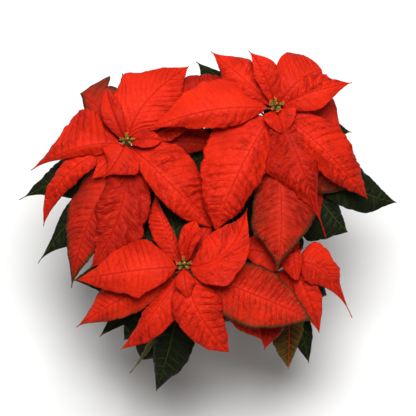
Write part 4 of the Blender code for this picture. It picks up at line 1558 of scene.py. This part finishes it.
@dataclass
class Cup:
    """One true flower: a ribbed green cup with a fringed mouth, a lipped gland and red stamens.

    Sizes in mm, which scale multiplies, and the gland's tilt in degrees. gland_out is a share of the
    radius, and gland_up and stamen_up are shares of the height.
    """

    scale: float
    radius: float = 1.8
    height: float = 5.2
    sides: int = 20
    rings: int = 12
    ribs: int = 5
    rib_depth: float = 0.07
    fringe_depth: float = 0.05
    gland_radius: float = 0.95
    lip_radius: float = 0.5
    gland_tilt: float = 62.0
    gland_out: float = 0.98
    gland_up: float = 0.80
    stamen_count: int = 5
    stamen_length: tuple[float, float] = (1.4, 3.0)
    stamen_lean: tuple[float, float] = (0.1, 0.9)
    stamen_up: float = 0.82
    mouth_radius: float = 0.35
    thread_radius: float = 0.30
    sac_radius: float = 0.5
    sac_shape: Point = (1.3, 0.8, 0.9)

    def bowl(self) -> bpy.types.Object:
        """The ribbed cup: a ball drawn out into an urn whose top is pressed in."""
        deselect_all()
        bpy.ops.mesh.primitive_uv_sphere_add(segments=self.sides, ring_count=self.rings, radius=1.0)
        made = bpy.context.object
        points = mesh_points(made)
        level = (points[:, 2] + 1.0) / 2.0
        angle = np.arctan2(points[:, 1], points[:, 0])
        profile = np.interp(
            level,
            (0.0, 0.06, 0.30, 0.60, 0.80, 0.92, 0.97, 1.0),
            (0.0, 0.40, 0.78, 1.00, 0.86, 0.60, 0.42, 0.0),
        )
        height = np.interp(level, (0.0, 0.6, 0.92, 0.97, 1.0), (0.0, 0.64, 1.0, 0.90, 0.70))
        ribbed = 1.0 + self.rib_depth * np.cos(self.ribs * angle) * smooth(0.1, 0.5, level)
        fringe = np.cos(self.ribs * 2 * angle) * smooth(0.8, 0.92, level) * (level < 0.95)
        out = profile * ribbed * self.radius
        up = (height + self.fringe_depth * fringe) * self.height
        urn = np.stack((np.cos(angle) * out, np.sin(angle) * out, up), axis=-1)
        move_points(made, urn * self.scale * MM)
        bpy.ops.object.shade_smooth()
        return made

    def gland(self) -> bpy.types.Object:
        """The gland on the cup's side: a ring pressed into two lips."""
        size = self.scale * MM
        deselect_all()
        bpy.ops.mesh.primitive_torus_add(
            major_segments=14, minor_segments=8, major_radius=self.gland_radius * size,
            minor_radius=self.lip_radius * size, rotation=(0.0, math.radians(self.gland_tilt), 0.0),
            location=(self.radius * self.gland_out * size, 0.0, self.height * self.gland_up * size),
        )
        made = bpy.context.object
        bpy.ops.object.shade_smooth()
        return settle(made, "gland")

    def stamen(self, wardrobe: Wardrobe, randoms: random.Random) -> list[bpy.types.Object]:
        """One stamen that stands out of the mouth: its thread and its two-lobed pollen sac."""
        turn = randoms.uniform(0.0, math.tau)
        lean = randoms.uniform(*self.stamen_lean)
        length = randoms.uniform(*self.stamen_length) * self.scale
        outwards = np.array((math.cos(turn), math.sin(turn), 0.0))
        upwards = np.array((0.0, 0.0, 1.0))
        foot = outwards * self.mouth_radius + upwards * (self.height * self.stamen_up * self.scale)
        way = outwards * math.sin(lean) + upwards * math.cos(lean)
        axis = foot + way * np.linspace(0.0, length, 4)[:, None]
        thread = tube("thread", axis * MM, np.full(4, self.thread_radius * MM * self.scale), 1)
        wardrobe.put(thread, Grain.STAMEN)
        deselect_all()
        bpy.ops.mesh.primitive_ico_sphere_add(
            subdivisions=2, radius=self.sac_radius * MM * self.scale, location=tuple(axis[-1] * MM)
        )
        sac = bpy.context.object
        sac.scale = self.sac_shape
        sac.rotation_euler = (0.0, 0.0, turn)
        bpy.ops.object.shade_smooth()
        wardrobe.put(sac, Grain.POLLEN)
        return [thread, settle(sac, "sac")]

    def build(self, wardrobe: Wardrobe, seed: int) -> bpy.types.Object:
        """Builds one cup at the origin.

        Args:
            wardrobe: The finishes.
            seed: Places its stamens.

        Returns:
            The cup, not yet placed.
        """
        randoms = random.Random(seed)
        pieces = [self.bowl(), self.gland()]
        for piece, finish in zip(pieces, (Grain.CUP, Grain.GLAND)):
            wardrobe.put(piece, finish)
        for _ in range(self.stamen_count):
            pieces += self.stamen(wardrobe, randoms)
        return join(pieces, "cup")


@dataclass
class Cluster:
    """The cluster of cups in the middle of one rosette. Sizes in mm, angles in degrees."""

    branch: Branch
    stalk_radius: float = 3.0
    stalk_height: float = 3.2
    golden_share: float = 0.381966
    first_bearing: float = 40.0
    tilt: float = 36.0
    tilt_step: float = 9.0
    reach: float = 1.6
    reach_step: float = 0.30
    size_step: float = 0.12
    cup_foot: float = 1.6

    def build(self, wardrobe: Wardrobe) -> None:
        """Builds the stalk and the cups on it.

        Args:
            wardrobe: The finishes.
        """
        head = np.array(self.branch.head, float)
        foot = head + np.array((0.0, 0.0, FIT_GAP / MM))
        shape = np.array((0.9, 1.0, 1.0, 1.0, 1.0, 0.95, 0.85, 0.65))
        axis = np.linspace(foot, foot + np.array((0.0, 0.0, self.stalk_height)), len(shape))
        stalk = tube("cluster stalk", axis * MM, self.stalk_radius * shape * MM, 4)
        wardrobe.put(stalk, Grain.CLUSTER_STALK)
        pieces = [stalk]
        for index in range(self.branch.cups):
            outer = index > 0
            tilt = self.tilt + self.tilt_step * (index % 3) if outer else 0.0
            out = self.reach + self.reach_step * index if outer else 0.0
            angle = math.radians(360.0 * index * self.golden_share + self.first_bearing)
            cup = Cup(1.0 + self.size_step * (index % 2)).build(wardrobe, self.branch.seed * 20 + index)
            place = foot + np.array((out * math.cos(angle), out * math.sin(angle), self.cup_foot))
            cup.location = tuple(place * MM)
            cup.rotation_euler = (0.0, math.radians(tilt), angle)
            pieces.append(settle(cup, f"cup {index}"))
        made = join(pieces, "flowers_" + self.branch.name)
        commit(made, "cyathia_" + self.branch.name)


@dataclass
class Trunk:
    """The woody trunk and the collars where the stems leave it. Sizes in mm.

    Each of the rings has its height, its gap and its shift. The cells of the bark's creases and lumps
    are the number in a radian round the trunk, and the length of one along it.
    """

    radius: float = 6.2
    foot: float = 50.0
    top: float = 158.0
    bark: float = 0.45
    rounding: float = 0.18
    tip_length: float = 4.0
    collar_radius: float = 5.0
    collar_flare: float = 0.12
    voxel: float = 0.55
    crease_depth: float = 0.22
    crease_cells: tuple[float, float] = (5.0, 7.0)
    lump_height: float = 0.16
    lump_cells: tuple[float, float] = (2.0, 3.0)
    rings: tuple[Point, ...] = ((0.18, 3.1, 0.0), (0.25, 11.0, 1.0))
    seed: int = 5

    def stake(self) -> bpy.types.Object:
        """The trunk alone: a tube with uneven rings and a rounded top."""
        height = np.linspace(self.foot, self.top, 60)
        rings = sum(high * np.sin(height / gap + shift) for high, gap, shift in self.rings)
        radius = self.radius - self.bark + rings * smooth(self.foot, self.foot + 20.0, height)
        radius *= 1.0 - self.rounding * smooth(self.top - self.tip_length, self.top, height)
        axis = np.stack((0.0 * height, 0.0 * height, height), axis=-1)
        return tube("trunk", axis * MM, radius * MM, 6)

    def collar(self, branch: Branch) -> bpy.types.Object:
        """The collar from which one branch grows."""
        start = np.array((0.0, 0.0, branch.fork))
        share = np.linspace(0.0, 1.0, 10)
        points = start + np.array(branch.direction()) * branch.collar * share[:, None]
        flare = self.collar_flare * smooth(0.6, 1.0, share)
        radius = self.collar_radius * (1.0 - self.rounding * share + flare)
        return tube("collar " + branch.name, points * MM, radius * MM, 5)

    def build(self, wardrobe: Wardrobe) -> None:
        """Builds the trunk as one knotted body.

        Args:
            wardrobe: The finishes.
        """
        made = join([self.stake()] + [self.collar(branch) for branch in BRANCHES], "trunk_bark")
        blend = made.modifiers.new("blend", "REMESH")
        blend.mode = "VOXEL"
        blend.voxel_size = self.voxel * MM
        apply_modifier(made, blend.name)
        ease = made.modifiers.new("ease", "SMOOTH")
        ease.iterations = 3
        apply_modifier(made, ease.name)
        points = mesh_points(made)
        angle = np.arctan2(points[:, 1], points[:, 0])
        height = points[:, 2] / MM
        bark = np.zeros(len(points))
        forms = ((self.crease_depth, self.crease_cells), (self.lump_height, self.lump_cells))
        for layer, (high, (round_it, along_it)) in enumerate(forms):
            bark += high * plane_noise(angle * round_it + 20.0, height / along_it, self.seed + layer)
        move_points(made, points + vertex_normals(made) * (bark * MM)[:, None])
        bpy.ops.object.shade_smooth()
        made.data.materials.clear()
        wardrobe.put(made, Grain.BARK)
        commit(settle(made, "trunk_bark"), "trunk")


# Pot and soil


@dataclass
class Pot:
    """The plain tapered pot with its rolled rim. Sizes in metres."""

    height: float = 0.122
    base_radius: float = 0.050
    top_radius: float = 0.068
    wall: float = 0.0026
    floor: float = 0.0034
    foot_width: float = 0.006
    fillet: float = 0.002
    floor_flare: float = 0.0004
    rim_height: float = 0.016
    rim_proud: float = 0.0032
    rim_edge: float = 0.0012
    rim_ease: float = 0.0006
    rim_taper: float = 0.0002
    rim_inside: float = 0.012
    middle: float = 0.004
    drain_holes: int = 5
    drain_radius: float = 0.0048
    drain_ring: float = 0.031
    sides: int = 128

    def wall_at(self, height: float) -> float:
        """The outer radius of the wall at a height."""
        return self.base_radius + (self.top_radius - self.base_radius) * height / self.height

    def rounded(self, corner: tuple[float, float], start: float) -> list[tuple[float, float]]:
        """Points of a rounded edge of the profile, a quarter turn.

        Args:
            corner: The middle of the rounding.
            start: The bearing of its first point in degrees, from the radial way up.

        Returns:
            The points in order.
        """
        bearings = [math.radians(start + 90.0 * step / 5) for step in range(6)]
        return [
            (corner[0] + self.rim_edge * math.cos(turn), corner[1] + self.rim_edge * math.sin(turn))
            for turn in bearings
        ]

    def profile(self) -> list[tuple[float, float]]:
        """The pot's profile, from the middle of its underside round to the middle of its floor."""
        edge = self.rim_edge
        under_rim = self.height - self.rim_height
        neck = self.wall_at(under_rim)
        outer = self.top_radius + self.rim_proud
        inner = self.top_radius - self.wall
        inside = self.wall_at(self.floor) - self.wall
        points = [(self.middle, 0.0), (self.base_radius - self.foot_width, 0.0)]
        points += self.rounded((self.base_radius - edge, edge), -90.0)
        points += [(self.wall_at(share * under_rim), share * under_rim) for share in (0.25, 0.5, 0.75, 0.94)]
        points += [
            (neck + self.rim_taper, under_rim - self.rim_proud),
            (neck + self.rim_proud * 0.7, under_rim - self.rim_ease),
            (neck + self.rim_proud, under_rim + self.rim_ease),
            (outer - self.rim_taper, self.height - self.rim_height * 0.4),
        ]
        points += self.rounded((outer - edge, self.height - edge), 0.0)
        points += self.rounded((inner + edge, self.height - edge), 90.0)
        points += [
            (inner - self.rim_ease, self.height - self.rim_inside),
            (inside + self.floor_flare, self.floor + self.fillet),
            (inside - self.fillet, self.floor),
            (self.middle, self.floor),
        ]
        return points

    def build(self, wardrobe: Wardrobe) -> None:
        """Builds the pot and drills its drain holes.

        Args:
            wardrobe: The finishes.
        """
        made = turned("pot_shell", self.profile(), self.sides)
        for index in range(self.drain_holes):
            angle = math.tau * index / self.drain_holes
            deselect_all()
            bpy.ops.mesh.primitive_cylinder_add(
                vertices=40, radius=self.drain_radius, depth=self.floor * 4.0,
                location=(self.drain_ring * math.cos(angle), self.drain_ring * math.sin(angle), 0.0),
            )
            drill = bpy.context.object
            hole = made.modifiers.new("drain", "BOOLEAN")
            hole.operation = "DIFFERENCE"
            hole.object = drill
            apply_modifier(made, hole.name)
            bpy.data.objects.remove(drill, do_unlink=True)
        activate(made)
        bpy.ops.object.shade_smooth_by_angle(angle=math.radians(40.0))
        wardrobe.put(made, Grain.POT)
        commit(settle(made, "pot_shell"), "pot")


@dataclass(frozen=True)
class Scatter:
    """A kind of small lump strewn over the soil. Sizes in metres."""

    name: str
    count: int
    size: tuple[float, float]
    slimness: float
    seed: int
    finish: Grain


@dataclass
class Soil:
    """The peat in the pot, with its crumbs and white grains. Sizes in metres.

    lump_rate and fine_rate are the noise cells in a metre. raised, flatness, tilt and dents shape each
    thing strewn on it, as shares of its radius and in radians.
    """

    top: float = 0.108
    dome: float = 0.005
    floor: float = 0.0037
    inner_radius: float = 0.0471
    slope: float = 0.018 / 0.122
    sides: int = 96
    rings: int = 26
    middle: float = 0.004
    lump: float = 0.0011
    lump_rate: float = 150.0
    fine_rate: float = 420.0
    trunk_hole: float = 0.0068
    strewn_from: float = 0.009
    strewn_margin: float = 0.0125
    raised: float = 0.15
    flatness: float = 0.7
    tilt: float = 0.5
    dents: tuple[float, float] = (0.75, 1.15)
    seed: int = 77
    scatters: tuple[Scatter, ...] = (
        Scatter("peat_crumbs", 230, (0.0006, 0.0021), 2.6, 77, Grain.PEAT),
        Scatter("perlite_grains", 70, (0.0005, 0.0015), 1.3, 86, Grain.PERLITE),
    )

    def radius_at(self, height: float) -> float:
        """The soil's radius at a height."""
        return self.inner_radius + self.slope * height - FIT_GAP

    def surface_height(self, x: np.ndarray, y: np.ndarray) -> np.ndarray:
        """The height of the lumpy top at places on it."""
        share = np.hypot(x, y) / self.radius_at(self.top)
        rise = self.dome * np.clip(1.0 - share**2, 0.0, 1.0)
        coarse, fine = (
            plane_noise(x * rate + 30.0, y * rate + 30.0, self.seed + layer)
            for layer, rate in enumerate((self.lump_rate, self.fine_rate))
        )
        return self.top + rise + self.lump * (coarse + 0.5 * fine) * (1.0 - 0.8 * share**6)

    def body(self) -> bpy.types.Object:
        """The body of the soil: turned, with a lumpy top that is open at the trunk."""
        edge = self.radius_at(self.top)
        profile = [(self.middle, self.floor), (self.radius_at(self.floor), self.floor), (edge, self.top)]
        for ring in range(1, self.rings):
            radius = edge + (self.trunk_hole - edge) * ring / (self.rings - 1)
            profile.append((radius, self.top + 0.001))
        made = turned("soil_top", profile, self.sides)
        points = mesh_points(made)
        upper = points[:, 2] > self.top - 1e-5
        points[upper, 2] = self.surface_height(points[upper, 0], points[upper, 1])
        move_points(made, points)
        activate(made)
        bpy.ops.object.shade_smooth()
        return made

    def strewn(self, scatter: Scatter) -> bpy.types.Object:
        """Small lumps strewn over the top.

        Args:
            scatter: Their kind.

        Returns:
            The lumps, joined.
        """
        randoms = random.Random(scatter.seed)
        deselect_all()
        bpy.ops.mesh.primitive_ico_sphere_add(subdivisions=1, radius=1.0)
        pattern = bpy.context.object
        lumps = []
        for _ in range(scatter.count):
            lump = pattern.copy()
            lump.data = pattern.data.copy()
            bpy.context.collection.objects.link(lump)
            turn = randoms.uniform(0.0, math.tau)
            reach = self.radius_at(self.top) - self.strewn_margin
            out = self.strewn_from + reach * math.sqrt(randoms.random())
            x, y = out * math.cos(turn), out * math.sin(turn)
            radius = randoms.uniform(*scatter.size)
            z = float(self.surface_height(np.array(x), np.array(y)))
            lump.location = (x, y, z + radius * self.raised)
            length = radius * randoms.uniform(1.0, scatter.slimness)
            lump.scale = (length, radius, radius * self.flatness)
            tilts = [randoms.uniform(-self.tilt, self.tilt) for _ in range(2)]
            lump.rotation_euler = (*tilts, turn * 3.0)
            for vertex in lump.data.vertices:
                vertex.co *= randoms.uniform(*self.dents)
            lumps.append(lump)
        bpy.data.objects.remove(pattern, do_unlink=True)
        return join(lumps, scatter.name)

    def build(self, wardrobe: Wardrobe) -> None:
        """Builds the soil and what lies on it.

        Args:
            wardrobe: The finishes.
        """
        body = self.body()
        wardrobe.put(body, Grain.PEAT)
        commit(body, "soil")
        for scatter in self.scatters:
            lumps = self.strewn(scatter)
            wardrobe.put(lumps, scatter.finish)
            commit(lumps, "soil")


# Studio


@dataclass
class Studio:
    """The floor, the soft light and the camera. Sizes in metres, angles in degrees, power in watts."""

    floor_size: float = 8.0
    target: Point = (-0.0022, -0.0084, 0.2973)
    distance: float = 1.8
    elevation: float = 72.0
    view_width: float = 0.461
    sensor: float = 36.0
    lamp_place: Point = (0.02, 0.20, 2.10)
    lamp_size: float = 0.95
    lamp_power: float = 58.0
    fill_light: float = 0.22

    def floor(self, wardrobe: Wardrobe) -> None:
        """Lays the plain pale floor."""
        deselect_all()
        bpy.ops.mesh.primitive_plane_add(size=self.floor_size, location=(0.0, 0.0, 0.0))
        floor = bpy.context.object
        floor.name = "studio_floor"
        wardrobe.put(floor, Grain.STUDIO_FLOOR)

    def lamp(self) -> None:
        """Hangs the square soft light that faces the plant."""
        deselect_all()
        bpy.ops.object.light_add(type="AREA", location=self.lamp_place)
        lamp = bpy.context.object
        lamp.name = "overhead softbox"
        lamp.data.shape = "SQUARE"
        lamp.data.size = self.lamp_size
        lamp.data.energy = self.lamp_power
        way = Vector(self.target) - Vector(self.lamp_place)
        lamp.rotation_euler = way.to_track_quat("-Z", "Y").to_euler()

    def world(self) -> None:
        """Fills the room with even white light."""
        world = bpy.data.worlds.new("studio")
        world.use_nodes = True
        background = world.node_tree.nodes["Background"]
        background.inputs["Color"].default_value = (1.0, 1.0, 1.0, 1.0)
        background.inputs["Strength"].default_value = self.fill_light
        bpy.context.scene.world = world

    def camera(self) -> None:
        """Sets the camera at the photograph's viewing angle."""
        tilt = math.radians(self.elevation)
        back = Vector((0.0, -math.cos(tilt), math.sin(tilt)))
        deselect_all()
        bpy.ops.object.camera_add(
            location=Vector(self.target) + back * self.distance,
            rotation=(math.radians(90.0) - tilt, 0.0, 0.0),
        )
        camera = bpy.context.object
        camera.name = "studio_camera"
        camera.data.sensor_width = self.sensor
        camera.data.lens = self.sensor * self.distance / self.view_width
        bpy.context.scene.camera = camera

    def build(self, wardrobe: Wardrobe) -> None:
        """Builds the studio.

        Args:
            wardrobe: The finishes.
        """
        self.floor(wardrobe)
        self.lamp()
        self.world()
        self.camera()
        bpy.context.scene.view_settings.view_transform = "Standard"


def main() -> None:
    """Builds the plant from the pot up, and then the studio round it."""
    logging.basicConfig(level=logging.INFO, format="%(message)s")
    wardrobe = Wardrobe()
    Pot().build(wardrobe)
    Soil().build(wardrobe)
    Trunk().build(wardrobe)
    for branch in BRANCHES:
        Shoot(branch).build(wardrobe)
        Cluster(branch).build(wardrobe)
    Studio().build(wardrobe)


if __name__ == "__main__":
    main()
